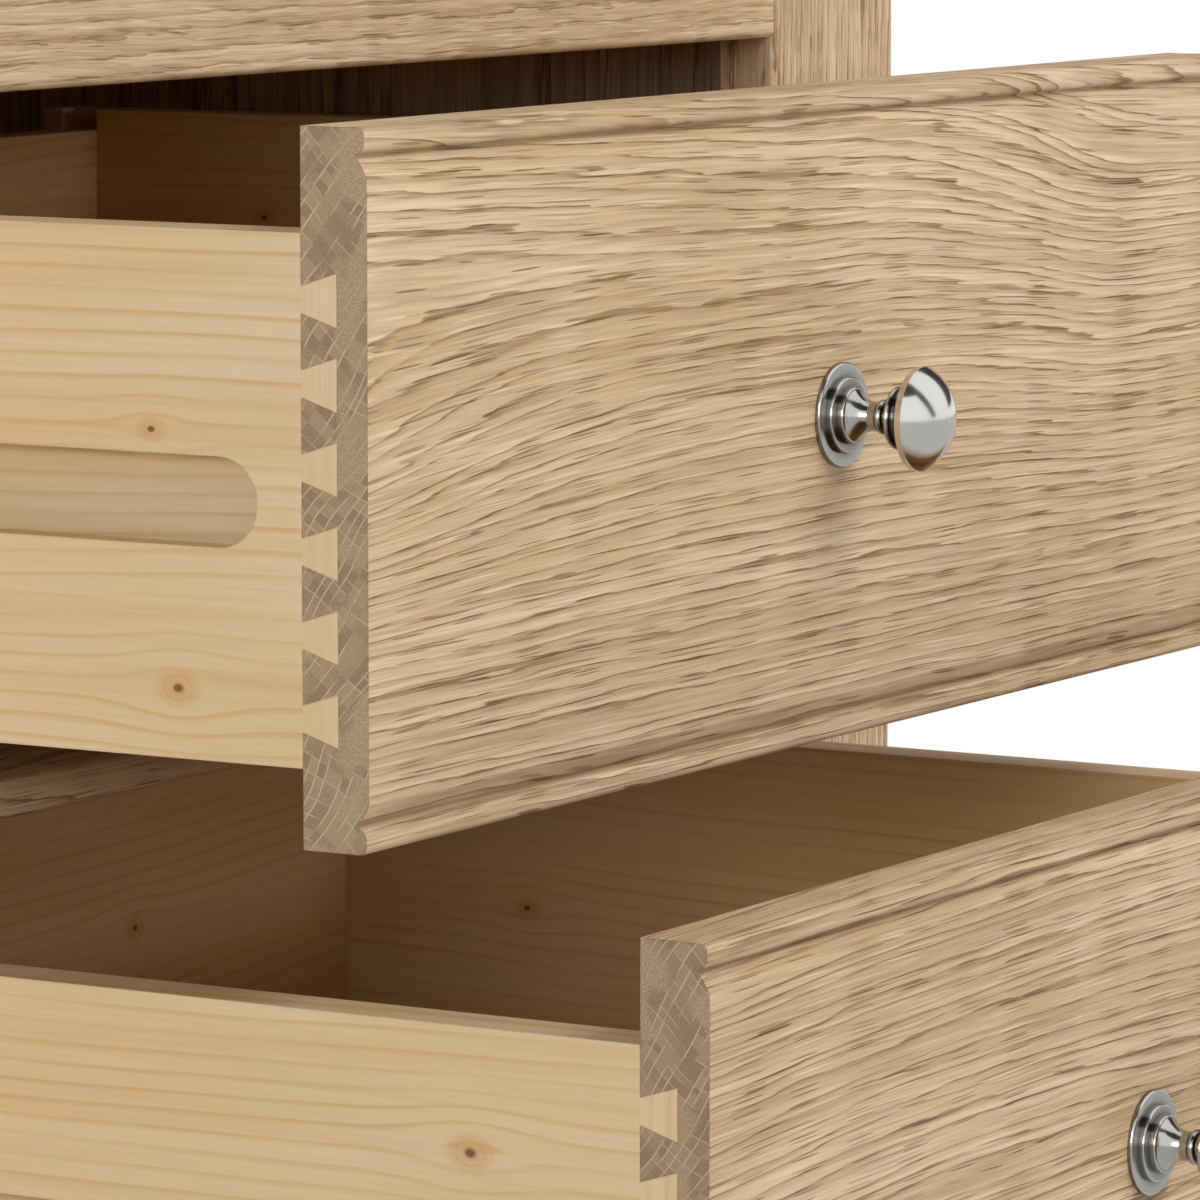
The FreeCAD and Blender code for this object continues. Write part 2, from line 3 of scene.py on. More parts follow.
import bpy
import numpy as np
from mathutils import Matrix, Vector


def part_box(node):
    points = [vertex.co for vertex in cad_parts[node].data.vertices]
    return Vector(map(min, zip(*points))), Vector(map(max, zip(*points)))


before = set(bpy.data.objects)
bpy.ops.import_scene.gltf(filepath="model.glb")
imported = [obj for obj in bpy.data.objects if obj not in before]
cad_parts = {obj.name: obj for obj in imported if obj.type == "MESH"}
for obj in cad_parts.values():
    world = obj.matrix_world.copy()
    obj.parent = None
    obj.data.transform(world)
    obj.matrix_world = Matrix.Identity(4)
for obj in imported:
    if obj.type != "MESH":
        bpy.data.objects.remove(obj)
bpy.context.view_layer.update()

bl_info = {
    "name": "Two-drawer oak nightstand",
    "version": (1, 0, 0),
    "blender": (4, 5, 0),
    "location": "3D View > Sidebar > Nightstand",
    "description": "Finishes the nightstand in oak, pine and polished metal and sets up its studio",
    "category": "Object",
}


def srgb(red, green, blue):
    """Linear colour of an eight-bit display colour."""
    share = np.array((red, green, blue)) / 255.0
    linear = np.where(share <= 0.04045, share / 12.92, ((share + 0.055) / 1.055) ** 2.4)
    return tuple(float(value) for value in linear)


def rgba(colour):
    """A colour with full opacity."""
    return (colour[0], colour[1], colour[2], 1.0)


def colour_property(name, description, shade):
    """A colour that a user may change; shade is its eight-bit display colour."""
    return bpy.props.FloatVectorProperty(
        name=name, description=description, subtype="COLOR", size=3, min=0.0, max=1.0,
        default=srgb(*shade))


def relief_property(description, depth):
    """A depth of a wood's surface that a user may change."""
    return bpy.props.FloatProperty(
        name="Relief", description=description, default=depth, min=0.0, unit="LENGTH")


def power_property(name, place, power):
    """The power of a soft lamp that a user may change; place says where the lamp stands."""
    return bpy.props.FloatProperty(
        name=name, description="Power of the soft lamp " + place, default=power, min=0.0, unit="POWER")


def angle_property(name, description, degrees):
    """An angle that a user may change."""
    return bpy.props.FloatProperty(
        name=name, description=description, subtype="ANGLE", default=math.radians(degrees))


class OakFinish(bpy.types.PropertyGroup):
    """Colours and relief of the open-grained oak."""
    pale: colour_property("Pale wood", "Smooth late wood between the pores", (236, 208, 173))
    tan: colour_property("Tan wood", "Broad darker clouds in the board", (221, 190, 152))
    early: colour_property("Early wood", "Open-pored band at the start of a year's ring", (196, 161, 121))
    pore: colour_property("Pores", "Long open vessels seen as dashes", (130, 99, 68))
    # Pale dashes: partly the oak's ray figure, partly painted highlights beside the pores
    fleck_and_highlight: colour_property("Flecks and highlights", "Pale silvery dashes beside the pores", (246, 225, 197))
    end_base: colour_property("End grain", "Sawn end of a board", (167, 142, 113))
    end_dark: colour_property("Dark end grain", "Porous rings on a sawn end", (141, 117, 91))
    end_ray: colour_property("Rays", "Pale rays on a sawn end", (197, 176, 146))
    relief: relief_property("Depth of the open pores", 0.00022)


class PineFinish(bpy.types.PropertyGroup):
    """Colours and relief of the drawer boxes' pine."""
    pale: colour_property("Pale pine", "Early wood of the pine", (216, 191, 156))
    warm: colour_property("Warm pine", "Yellower clouds in the pine", (214, 186, 144))
    line: colour_property("Year lines", "Thin late-wood lines", (204, 163, 106))
    knot: colour_property("Knot", "Body of a small knot", (200, 150, 92))
    heart: colour_property("Knot heart", "Dark pith in the middle of a knot", (104, 70, 38))
    # Painted warm shade on the drawers' inner faces, standing in for the dim warm light bounced about in
    # them
    warm_shade_tint: colour_property("Painted warm shade", "Tint of the drawers' oiled insides", (255, 242, 216))
    relief: relief_property("Height of the planed year lines", 0.00005)


class MetalFinish(bpy.types.PropertyGroup):
    """Colours and polish of the metal pieces."""
    nickel: colour_property("Knob metal", "Polished knob and plate", (222, 220, 214))
    zinc: colour_property("Screw metal", "Zinc-plated screws, bolts and nuts", (186, 188, 190))
    polish: bpy.props.FloatProperty(
        name="Polish", description="Roughness of the polished knob", default=0.14, min=0.0, max=1.0,
        subtype="FACTOR")


class StudioSettings(bpy.types.PropertyGroup):
    """Camera, lamps and floor."""
    camera_place: bpy.props.FloatVectorProperty(
        name="Camera place", description="Where the camera stands", subtype="TRANSLATION", unit="LENGTH",
        default=(-1.49204, -1.02276, 0.56406))
    camera_heading: angle_property("Camera heading", "Turn from the +Y axis to the right", 59.511)
    camera_tilt: angle_property("Camera tilt", "Look down from the level", 6.872)
    lens: bpy.props.FloatProperty(
        name="Lens", description="Focal length on a 36 mm frame", default=211.69, min=10.0, unit="CAMERA")
    sky: bpy.props.FloatProperty(name="Sky", description="Light from all sides", default=0.15, min=0.0)
    key_power: power_property("Key lamp", "on the left", 40.5)
    fill_power: power_property("Fill lamp", "in front", 18.0)
    high_power: power_property("High lamp", "above the front", 31.0)
    rear_power: power_property("Rear lamp", "behind", 45.0)
    floor: colour_property("Floor", "Plain pale floor", (236, 235, 232))


class NightstandSettings(bpy.types.PropertyGroup):
    """All settings of the nightstand's looks."""
    oak: bpy.props.PointerProperty(name="Oak", description="Oak finish", type=OakFinish)
    pine: bpy.props.PointerProperty(name="Pine", description="Pine finish", type=PineFinish)
    metal: bpy.props.PointerProperty(name="Metal", description="Metal finish", type=MetalFinish)
    studio: bpy.props.PointerProperty(name="Studio", description="Studio", type=StudioSettings)


# Dashes and lines in the wood, as shares of their cells
DASH_PACKING = 0.6
DASH_SKEW = 1.7
DASH_SCATTER = 0.85
DASH_REACH = 0.32
DASH_STRENGTH = (0.55, 0.45)
DASH_CHOICE = 0.12
LINE_CORE = 0.4


class Wiring:
    """Adds shader nodes to one tree. Most methods return the output socket to go on from."""

    def __init__(self, tree):
        self.tree = tree

    def node(self, kind, inputs=None, **settings):
        """A node of this kind; inputs gives a value or another node's output for each input."""
        made = self.tree.nodes.new(kind)
        for name, value in settings.items():
            setattr(made, name, value)
        for key, value in (inputs or {}).items():
            if isinstance(value, bpy.types.NodeSocket):
                self.tree.links.new(value, made.inputs[key])
            else:
                made.inputs[key].default_value = value
        return made

    def calc(self, operation, *values):
        """Plain arithmetic on one to three numbers."""
        return self.node("ShaderNodeMath", dict(enumerate(values)), operation=operation).outputs[0]

    def plus(self, first, second):
        """The sum of two numbers."""
        return self.calc("ADD", first, second)

    def minus(self, first, second):
        """The first number less the second one."""
        return self.calc("SUBTRACT", first, second)

    def times(self, first, second):
        """The product of two numbers."""
        return self.calc("MULTIPLY", first, second)

    def linear(self, value, factor, base):
        """The value times a factor, added to a base."""
        return self.calc("MULTIPLY_ADD", value, factor, base)

    def vector(self, operation, *values):
        """Vector arithmetic."""
        return self.node("ShaderNodeVectorMath", dict(enumerate(values)), operation=operation).outputs[0]

    def shaded(self, colour, share):
        """The colour times a share, darker or lighter."""
        return self.node("ShaderNodeVectorMath", {0: colour, 3: share}, operation="SCALE").outputs[0]

    def spot(self):
        """Place on the object."""
        return self.node("ShaderNodeTexCoord").outputs["Object"]

    def split(self, place):
        """The three numbers of a place."""
        return self.node("ShaderNodeSeparateXYZ", {0: place}).outputs

    def join(self, *numbers):
        """A place from three numbers."""
        return self.node("ShaderNodeCombineXYZ", dict(enumerate(numbers))).outputs[0]

    def ramp(self, value, start, end, low=0.0, high=1.0):
        """Smooth step from low at start to high at end; start may lie above end."""
        return self.node("ShaderNodeMapRange", {0: value, 1: start, 2: end, 3: low, 4: high},
                         interpolation_type="SMOOTHSTEP").outputs[0]

    def mix(self, share, first, second):
        """From the first colour to the second one."""
        inputs = {0: share, 6: first, 7: second}
        for key in (6, 7):
            if not isinstance(inputs[key], bpy.types.NodeSocket):
                inputs[key] = rgba(inputs[key])
        return self.node("ShaderNodeMix", inputs, data_type="RGBA").outputs[2]

    def noise(self, place, scales, detail=2.0, roughness=0.5):
        """Smooth noise from 0 to 1 whose bumps have the size 1 / scales; two scales read a flat place."""
        stretch = tuple(scales) + (0.0,) * (3 - len(scales))
        inputs = {"Vector": self.vector("MULTIPLY", place, stretch), "Scale": 1.0, "Detail": detail,
                  "Roughness": roughness}
        return self.node("ShaderNodeTexNoise", inputs, noise_dimensions=f"{len(scales)}D").outputs[0]

    def swing(self, place, scales, detail=2.0, roughness=0.5):
        """The same noise from -0.5 to 0.5."""
        return self.minus(self.noise(place, scales, detail, roughness), 0.5)

    def bell(self, value):
        """Bell curve: 1 where the value is 0, and e ** -1 where it is 1 or -1."""
        return self.calc("EXPONENT", self.times(self.times(value, value), -1.0))

    def hypotenuse(self, first, second):
        """Square root of the sum of two squares."""
        return self.calc("SQRT", self.plus(self.times(first, first), self.times(second, second)))

    def dashes(self, flow, dash, share):
        """Spindles, one in each cell of a random packing of the flat place, in a share of the cells and of
        varied strength. dash holds their length and width, the packing's offset and their soft edge."""
        length, width, offset, soft = dash
        packing = (DASH_PACKING / length, DASH_PACKING / width, 0.0)
        moved = self.vector("MULTIPLY_ADD", flow, packing, (offset, offset * DASH_SKEW, 0.0))
        inputs = {"Vector": moved, "Scale": 1.0, "Randomness": DASH_SCATTER}
        cells = self.node("ShaderNodeTexVoronoi", inputs, voronoi_dimensions="2D")
        chance = self.split(cells.outputs["Color"])
        body = self.ramp(cells.outputs["Distance"], DASH_REACH, DASH_REACH - soft)
        strength = self.linear(chance[1], *DASH_STRENGTH)
        chosen = self.ramp(self.minus(share, chance[0]), 0.0, DASH_CHOICE)
        return self.times(body, self.times(strength, chosen))

    def courses(self, value, spacing, width):
        """Uneven courses along one number: thin lines between them, and a random number for each course."""
        scaled = self.calc("DIVIDE", value, spacing)
        inputs = {"W": scaled, "Scale": 1.0}
        cell = self.node("ShaderNodeTexVoronoi", inputs, voronoi_dimensions="1D")
        edge = self.node("ShaderNodeTexVoronoi", inputs, voronoi_dimensions="1D",
                         feature="DISTANCE_TO_EDGE")
        share = width / spacing
        lines = self.ramp(edge.outputs["Distance"], share, share * LINE_CORE)
        return lines, self.split(cell.outputs["Color"])[0]

    def bump(self, height, depth, **others):
        """The surface's direction over a relief of this depth."""
        inputs = {"Strength": 1.0, "Distance": depth, "Height": height, **others}
        return self.node("ShaderNodeBump", inputs).outputs[0]

    def shader(self, colour, roughness, others):
        """A surface of this colour and roughness, and of what others gives."""
        inputs = {"Base Color": colour, "Roughness": roughness, **others}
        return self.node("ShaderNodeBsdfPrincipled", inputs).outputs[0]

    def show(self, surface):
        """Makes this the material's surface."""
        self.node("ShaderNodeOutputMaterial", {"Surface": surface})


WOOD_OUTPUTS = {"Color": "Color", "Roughness": "Float", "Height": "Float"}


def new_group(name, inputs):
    """An empty node group for a wood, with the kind of socket of each input. Also returns the sockets that
    give the inputs and those that take the wood's outputs."""
    group = bpy.data.node_groups.new(name, "ShaderNodeTree")
    for direction, sockets in (("INPUT", inputs), ("OUTPUT", WOOD_OUTPUTS)):
        for label, kind in sockets.items():
            group.interface.new_socket(label, in_out=direction, socket_type="NodeSocket" + kind)
    entry = group.nodes.new("NodeGroupInput")
    leave = group.nodes.new("NodeGroupOutput")
    return group, list(entry.outputs)[:len(inputs)], leave.inputs


# Sawn end of the oak: spacing and width of its lines, how they lean and sway
RAYS = (0.0024, 0.00022)
END_RINGS = (0.0029, 0.00020)
RAY_STEEP = 0.85
RAY_FLAT = 0.53
END_SWAY = 0.012
BRICK_MIX = (3.7, 5.3)

# Sawn end of the oak: bumps per metre of its noises, and the shades of its cells
END_RAY_SWAY = (24.0, 24.0)
END_RING_SWAY = (31.0, 17.0)
END_RAY_BREAKS = (260.0, 55.0)
END_RING_BREAKS = (120.0, 260.0)
END_CELLS = (2300.0, 2300.0)
END_PATCHES = (62.0, 62.0)
END_SHADES = (0.90, 1.06)


def sawn_end(w, oak, through, across):
    """Sawn end of an oak board: pale rays and fainter ring lines that cross them, like courses of small
    bricks in varied browns, with patches of fine pale cells. Returns its colour, cells and lines."""
    spot = w.join(through, across, 0.0)
    sway = w.swing(spot, END_RAY_SWAY, 1.0)
    lean = w.swing(spot, END_RING_SWAY, 1.0)
    down = w.linear(sway, END_SWAY, w.times(through, RAY_STEEP))
    down = w.linear(across, RAY_FLAT, down)
    over = w.linear(lean, END_SWAY, w.times(through, -RAY_FLAT))
    over = w.linear(across, RAY_STEEP, over)
    rays, ray_chance = w.courses(down, *RAYS)
    rings, ring_chance = w.courses(over, *END_RINGS)
    crossed = w.join(down, over, 0.0)
    rays = w.times(rays, w.ramp(w.noise(crossed, END_RAY_BREAKS, 1.0), 0.40, 0.50))
    rings = w.times(rings, w.ramp(w.noise(crossed, END_RING_BREAKS, 1.0), 0.47, 0.56, 0.0, 0.8))
    lines = w.calc("MAXIMUM", rays, rings)
    brick = w.linear(ray_chance, BRICK_MIX[0], w.times(ring_chance, BRICK_MIX[1]))
    brick = w.calc("FRACT", brick)
    cells = w.noise(spot, END_CELLS, 2.0, 0.7)
    patches = w.ramp(w.noise(spot, END_PATCHES), 0.50, 0.62)
    base = w.mix(w.ramp(brick, 0.1, 0.9, 0.0, 0.8), oak.end_base, oak.end_dark)
    base = w.mix(patches, base, oak.end_base)
    speckle = w.times(w.ramp(cells, 0.52, 0.66), w.linear(patches, 0.5, 0.10))
    base = w.mix(speckle, base, oak.end_ray)
    base = w.shaded(base, w.ramp(cells, 0.3, 0.7, *END_SHADES))
    clear = w.linear(patches, -0.55, 0.85)
    return w.mix(w.times(lines, clear), base, oak.end_ray), cells, lines


OAK_INPUTS = {"Place": "Vector", "Level": "Float", "Ring": "Float", "End": "Float", "Tone": "Float",
              "Gathered": "Float", "Pores": "Float"}

# Oak: bumps per metre of its noises, along and across the grain
OAK_DRIFT = (9.0, 40.0)
OAK_FEATHER = (22.0, 420.0)
OAK_BREAKS = (14.0, 220.0)
OAK_FIBRES = (24.0, 1250.0)
OAK_STREAKS = (6.0, 210.0)
OAK_CLOUDS = (3.0, 30.0)
OAK_WOBBLE = (3.2, 13.0)

# Oak: length, width, offset and soft edge of its dashes, and the shares of cells that hold them
LONG_PORE = (0.034, 0.00044, 1.3, 0.12)
SHORT_PORE = (0.015, 0.00036, 4.9, 0.12)
# The pale dashes are partly ray figure and partly painted highlights on the pores' lips
FLECK_AND_HIGHLIGHT = (0.026, 0.0008, 3.1, 0.22)
HAIR = (0.045, 0.00036, 8.3, 0.2)
PORE_SHARE = (0.50, 0.10)
SHORT_PORE_EXTRA = 0.14
HAIR_EXTRA = 0.25
FLECK_AND_HIGHLIGHT_SHARE = 0.62

# Oak: how much the grain wanders
DRIFT_HEIGHT = 0.003
RING_FEATHER = 0.8

# Oak: shades of fibres and tones, and how strongly bands, pale dashes with painted highlights, dark marks
# and the painted shade in the quirks show
FIBRE_SHADES = (0.85, 1.10)
TONE_STEP = 0.14
BAND_STRENGTH = 0.7
FLECK_AND_HIGHLIGHT_STRENGTH = 0.6
MARK_STRENGTHS = (0.5, 0.5, 0.75, 0.9, 0.5)

# Oak: roughness of the bare wood, and what pores, fibres and a sawn end add to it
OAK_ROUGHNESS = (0.50, 0.18, 0.12, 0.10)


def oak_group(oak):
    """Node group for oak: open pores, crowded in the brown band that starts each ring, pale dashes that are
    partly ray figure and partly painted highlights beside the pores, fine fibres and the sawn end. Place
    has the grain along its first axis, Level is the place across the grain, bent with it, Ring counts the
    rings, and one more input is the share of painted shade along a quirk."""
    name = "oak wood"
    if name in bpy.data.node_groups:
        return bpy.data.node_groups[name]
    group, sockets, leave = new_group(name, OAK_INPUTS)
    place, level, ring, end, tone, quirk_shade, pores = sockets
    w = Wiring(group)
    along, through, across = w.split(place)
    drift = w.swing(w.join(along, level, 0.0), OAK_DRIFT)
    flow = w.join(along, w.linear(drift, DRIFT_HEIGHT, level), 0.0)
    feather = w.swing(flow, OAK_FEATHER, 2.0, 0.6)
    part = w.calc("FRACT", w.minus(w.times(feather, RING_FEATHER), ring))
    band = w.times(w.ramp(part, 0.80, 0.04), w.ramp(part, 0.0, 0.04))
    near = w.times(w.ramp(part, 0.26, 0.08), w.ramp(part, 0.0, 0.06))
    edge = w.times(w.times(near, pores), w.ramp(w.noise(flow, OAK_BREAKS), 0.34, 0.62))
    crowd = w.linear(near, *PORE_SHARE)
    long_pores = w.times(w.dashes(flow, LONG_PORE, crowd), pores)
    short_pores = w.times(w.dashes(flow, SHORT_PORE, w.plus(crowd, SHORT_PORE_EXTRA)), pores)
    hairs = w.dashes(flow, HAIR, w.plus(crowd, HAIR_EXTRA))
    flecks_and_highlights = w.dashes(flow, FLECK_AND_HIGHLIGHT, FLECK_AND_HIGHLIGHT_SHARE)
    fibres = w.noise(flow, OAK_FIBRES, 3.0, 0.6)
    streaks = w.noise(flow, OAK_STREAKS)
    clouds = w.noise(flow, OAK_CLOUDS)
    wood = w.mix(w.ramp(clouds, 0.36, 0.66), oak.pale, oak.tan)
    wood = w.mix(w.ramp(streaks, 0.45, 0.75, 0.0, 0.5), wood, oak.early)
    wood = w.mix(w.times(band, BAND_STRENGTH), wood, oak.early)
    # Pale dashes, partly ray figure and partly painted highlights
    wood = w.mix(w.times(flecks_and_highlights, FLECK_AND_HIGHLIGHT_STRENGTH), wood, oak.fleck_and_highlight)
    wood = w.shaded(wood, w.ramp(fibres, 0.25, 0.75, *FIBRE_SHADES))
    # The last mark is painted shade along the quirks, mixed towards the pore colour
    marks = (edge, hairs, short_pores, long_pores, quirk_shade)
    for mark, strength in zip(marks, MARK_STRENGTHS):
        wood = w.mix(w.times(mark, strength), wood, oak.pore)
    sawn, cells, lines = sawn_end(w, oak, through, across)
    wood = w.mix(end, wood, sawn)
    wood = w.shaded(wood, w.linear(tone, TONE_STEP, 1.0))
    hollow = w.linear(short_pores, 0.5, long_pores)
    hollow = w.linear(edge, 0.5, hollow)
    rough = OAK_ROUGHNESS[0]
    for mark, added in zip((hollow, fibres, end), OAK_ROUGHNESS[1:]):
        rough = w.linear(mark, added, rough)
    long_height = w.minus(w.times(fibres, 0.6), hollow)
    end_height = w.linear(cells, 0.3, w.times(lines, 0.1))
    height = w.node("ShaderNodeMix", {0: end, 2: long_height, 3: end_height}).outputs[0]
    for output, taken in zip((wood, rough, height), leave):
        group.links.new(output, taken)
    return group


PINE_INPUTS = {"Place": "Vector", "Ring": "Float", "End": "Float", "Knot": "Float", "Heart": "Float",
               "Pale": "Color", "Warm": "Color", "Line": "Color", "Routed": "Float", "Oiled": "Float"}

# Pine: bumps per metre of its noises, along and across the grain
PINE_STRENGTH = (3.0, 70.0)
PINE_FIBRES = (16.0, 900.0)
PINE_STREAKS = (4.0, 120.0)
PINE_CLOUDS = (5.0, 34.0)
PINE_WOBBLE = (4.0, 16.0)

# Pine: strength of its lines, shades of fibres and sawn end, painted shade on a routed groove's floor, and
# roughness
LINE_STRENGTHS = (0.1, 0.75)
PINE_SHADES = (0.965, 1.03)
PINE_END_SHADE = 0.9
ROUTED_PAINTED_SHADE = -0.2
PINE_ROUGHNESS = (0.40, 0.54)


def pine_group(pine):
    """Node group for planed softwood: thin late-wood lines that rise slowly and stop sharply, broad warm
    clouds, fine fibres and small knots. Place has the grain along its first axis, and Ring counts the year
    lines. Routed is the share of a routed groove's floor, which gets painted shade, and the last input is
    the share of an inner face, which gets painted warm shade."""
    name = "planed softwood"
    if name in bpy.data.node_groups:
        return bpy.data.node_groups[name]
    group, sockets, leave = new_group(name, PINE_INPUTS)
    place, ring, end, knot, heart, pale, warm, line, routed, warm_shaded = sockets
    w = Wiring(group)
    part = w.calc("FRACT", ring)
    late = w.times(w.ramp(part, 0.6, 0.9), w.ramp(part, 1.0, 0.92))
    along, through, across = w.split(place)
    flow = w.join(along, w.plus(across, through), 0.0)
    strength = w.ramp(w.noise(flow, PINE_STRENGTH), 0.32, 0.68, *LINE_STRENGTHS)
    fibres = w.noise(flow, PINE_FIBRES, 3.0, 0.6)
    streaks = w.noise(flow, PINE_STREAKS)
    clouds = w.noise(flow, PINE_CLOUDS)
    wood = w.mix(w.ramp(clouds, 0.35, 0.65), pale, warm)
    wood = w.mix(w.ramp(streaks, 0.45, 0.8, 0.0, 0.3), wood, line)
    wood = w.mix(w.times(late, strength), wood, line)
    wood = w.shaded(wood, w.ramp(fibres, 0.25, 0.75, *PINE_SHADES))
    wood = w.mix(knot, wood, pine.knot)
    wood = w.mix(heart, wood, pine.heart)
    wood = w.mix(end, wood, w.shaded(wood, PINE_END_SHADE))
    # Painted shade on the floor of a routed groove
    wood = w.shaded(wood, w.linear(routed, ROUTED_PAINTED_SHADE, 1.0))
    # Painted warm shade on the inner faces, standing in for light bounced about inside the drawers
    wood = w.mix(warm_shaded, wood, w.vector("MULTIPLY", wood, tuple(pine.warm_shade_tint)))
    rough = w.ramp(fibres, 0.2, 0.8, *PINE_ROUGHNESS)
    height = w.linear(late, 0.5, w.times(fibres, 0.7))
    height = w.linear(heart, -1.5, height)
    for output, taken in zip((wood, rough, height), leave):
        group.links.new(output, taken)
    return group


AXES = "XYZ"

# How far a surface looks along an axis before it counts as facing that way
FACING = (0.6, 0.9)


def board_box(node, grain):
    """Middle and half size of a board along the axes that grain names."""
    low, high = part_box(node)
    order = [AXES.index(letter) for letter in grain]
    middle = (low + high) / 2
    half = (high - low) / 2
    return [middle[axis] for axis in order], [half[axis] for axis in order]


def looks_along(w, letter):
    """How far the surface looks along an axis, from -1 to 1."""
    return w.split(w.node("ShaderNodeTexCoord").outputs["Normal"])[AXES.index(letter)]


def board_place(w, node, grain, shift):
    """Place in a board with the grain along the first axis, from the middle of its node, and the share of
    sawn end, from the surface's direction. grain names the axes along, through and across the board."""
    middle, _ = board_box(node, grain)
    spot = w.split(w.spot())
    numbers = []
    for letter, centre, moved in zip(grain, middle, shift):
        numbers.append(w.minus(spot[AXES.index(letter)], centre + moved))
    end = w.ramp(w.calc("ABSOLUTE", looks_along(w, grain[0])), *FACING)
    return w.join(*numbers), end


def new_material(name):
    """An empty material with its wiring."""
    material = bpy.data.materials.new(name)
    material.use_nodes = True
    material.node_tree.nodes.clear()
    return material, Wiring(material.node_tree)


def dress(node, material):
    """Gives a frame node this material in all of its slots."""
    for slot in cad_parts[node].material_slots:
        slot.material = material


def lacquered(w, figure, relief, arris, gloss):
    """Surface of a lacquered board: the figure's colour, roughness and relief over softened arrises."""
    colour, rough, height = figure.outputs
    soft = w.node("ShaderNodeBevel", {"Radius": arris}, samples=4).outputs[0]
    bump = w.bump(height, relief, Normal=soft)
    w.show(w.shader(colour, rough, {"Normal": bump, "Specular IOR Level": gloss}))


# Staves of a glued-up board: seed, spread along, through and across, and range of tones
STAVE_SEED = 3.7
STAVE_SPREAD = (1.6, 0.05, 0.8)
STAVE_TONES = 0.9


def glued_staves(w, place, width, seed, tone):
    """Place and tone in a board that is glued up from staves of this width: each stave is cut from another
    spot of the wood and is a little lighter or darker than the next."""
    along, through, across = w.split(place)
    number = w.calc("ROUND", w.calc("DIVIDE", across, width))
    chance = w.node("ShaderNodeTexWhiteNoise", {"W": w.plus(number, seed)}, noise_dimensions="1D")
    red, green, blue = w.split(chance.outputs["Color"])
    spread = width * STAVE_SPREAD[2]
    across = w.minus(w.minus(across, w.times(number, width)), spread / 2)
    across = w.linear(red, spread, across)
    along = w.linear(green, STAVE_SPREAD[0], along)
    through = w.linear(blue, STAVE_SPREAD[1], through)
    shade = w.linear(red, STAVE_TONES, tone - STAVE_TONES / 2)
    return w.join(along, through, across), shade


# Arched rings: where their tilt sets in, how a fall levels off and steepens, and their slant in depth
TILT_RISE = (0.026, 0.058)
FALL_END = (1.1, 0.2)
FALL_POWER = 2.3
ARCH_SLANT = 0.6


def arch_drop(w, along, across, arch):
    """How far arched rings drop. arch holds the crest's place along the board, the rings' tilt near its
    upper edge and, to the left and the right of the crest, a fall, the reach at which it is met, the level
    of its middle, and how far it spreads below and above that level."""
    crest, tilt, *falls = arch
    drop = w.times(along, w.ramp(across, *TILT_RISE, 0.0, tilt))
    for side, (fall, reach, level, below, above) in zip((-1, 1), falls):
        run = w.times(w.minus(along, crest), side / reach)
        run = w.calc("SMOOTH_MIN", w.calc("MAXIMUM", run, 0.0), *FALL_END)
        away = w.minus(across, level)
        away = w.calc("MAXIMUM", w.calc("DIVIDE", away, -below), w.calc("DIVIDE", away, above))
        deep = w.times(w.bell(away), fall)
        drop = w.linear(w.calc("POWER", run, FALL_POWER), deep, drop)
    return drop


# Painted shade along the quirk of the drawer fronts' moulding: its place from the edge, its soft width, and
# its depth
QUIRK = 0.0062
QUIRK_WIDTH = (0.0016, 0.0002)
QUIRK_DEPTH = (-0.0045, -0.0052)


def painted_quirk_shade(w, through, across, half):
    """Share of painted shade along the quirks on both edges of a moulded board; through and across go from
    the board's middle, and half is half of its width."""
    gap = w.minus(half - QUIRK, w.calc("ABSOLUTE", across))
    line = w.ramp(w.calc("ABSOLUTE", gap), *QUIRK_WIDTH)
    return w.times(line, w.ramp(through, *QUIRK_DEPTH))


# Oak boards: how uneven the rings are, how far the pores follow their bends, the painted shade on a board's
# inner side, and the surface
RING_UNEVEN = (0.7, 1.3)
FOLLOW = 0.5
PAINTED_SHADE_TONE = -2.6
OAK_ARRIS = 0.0006
OAK_GLOSS = 0.2


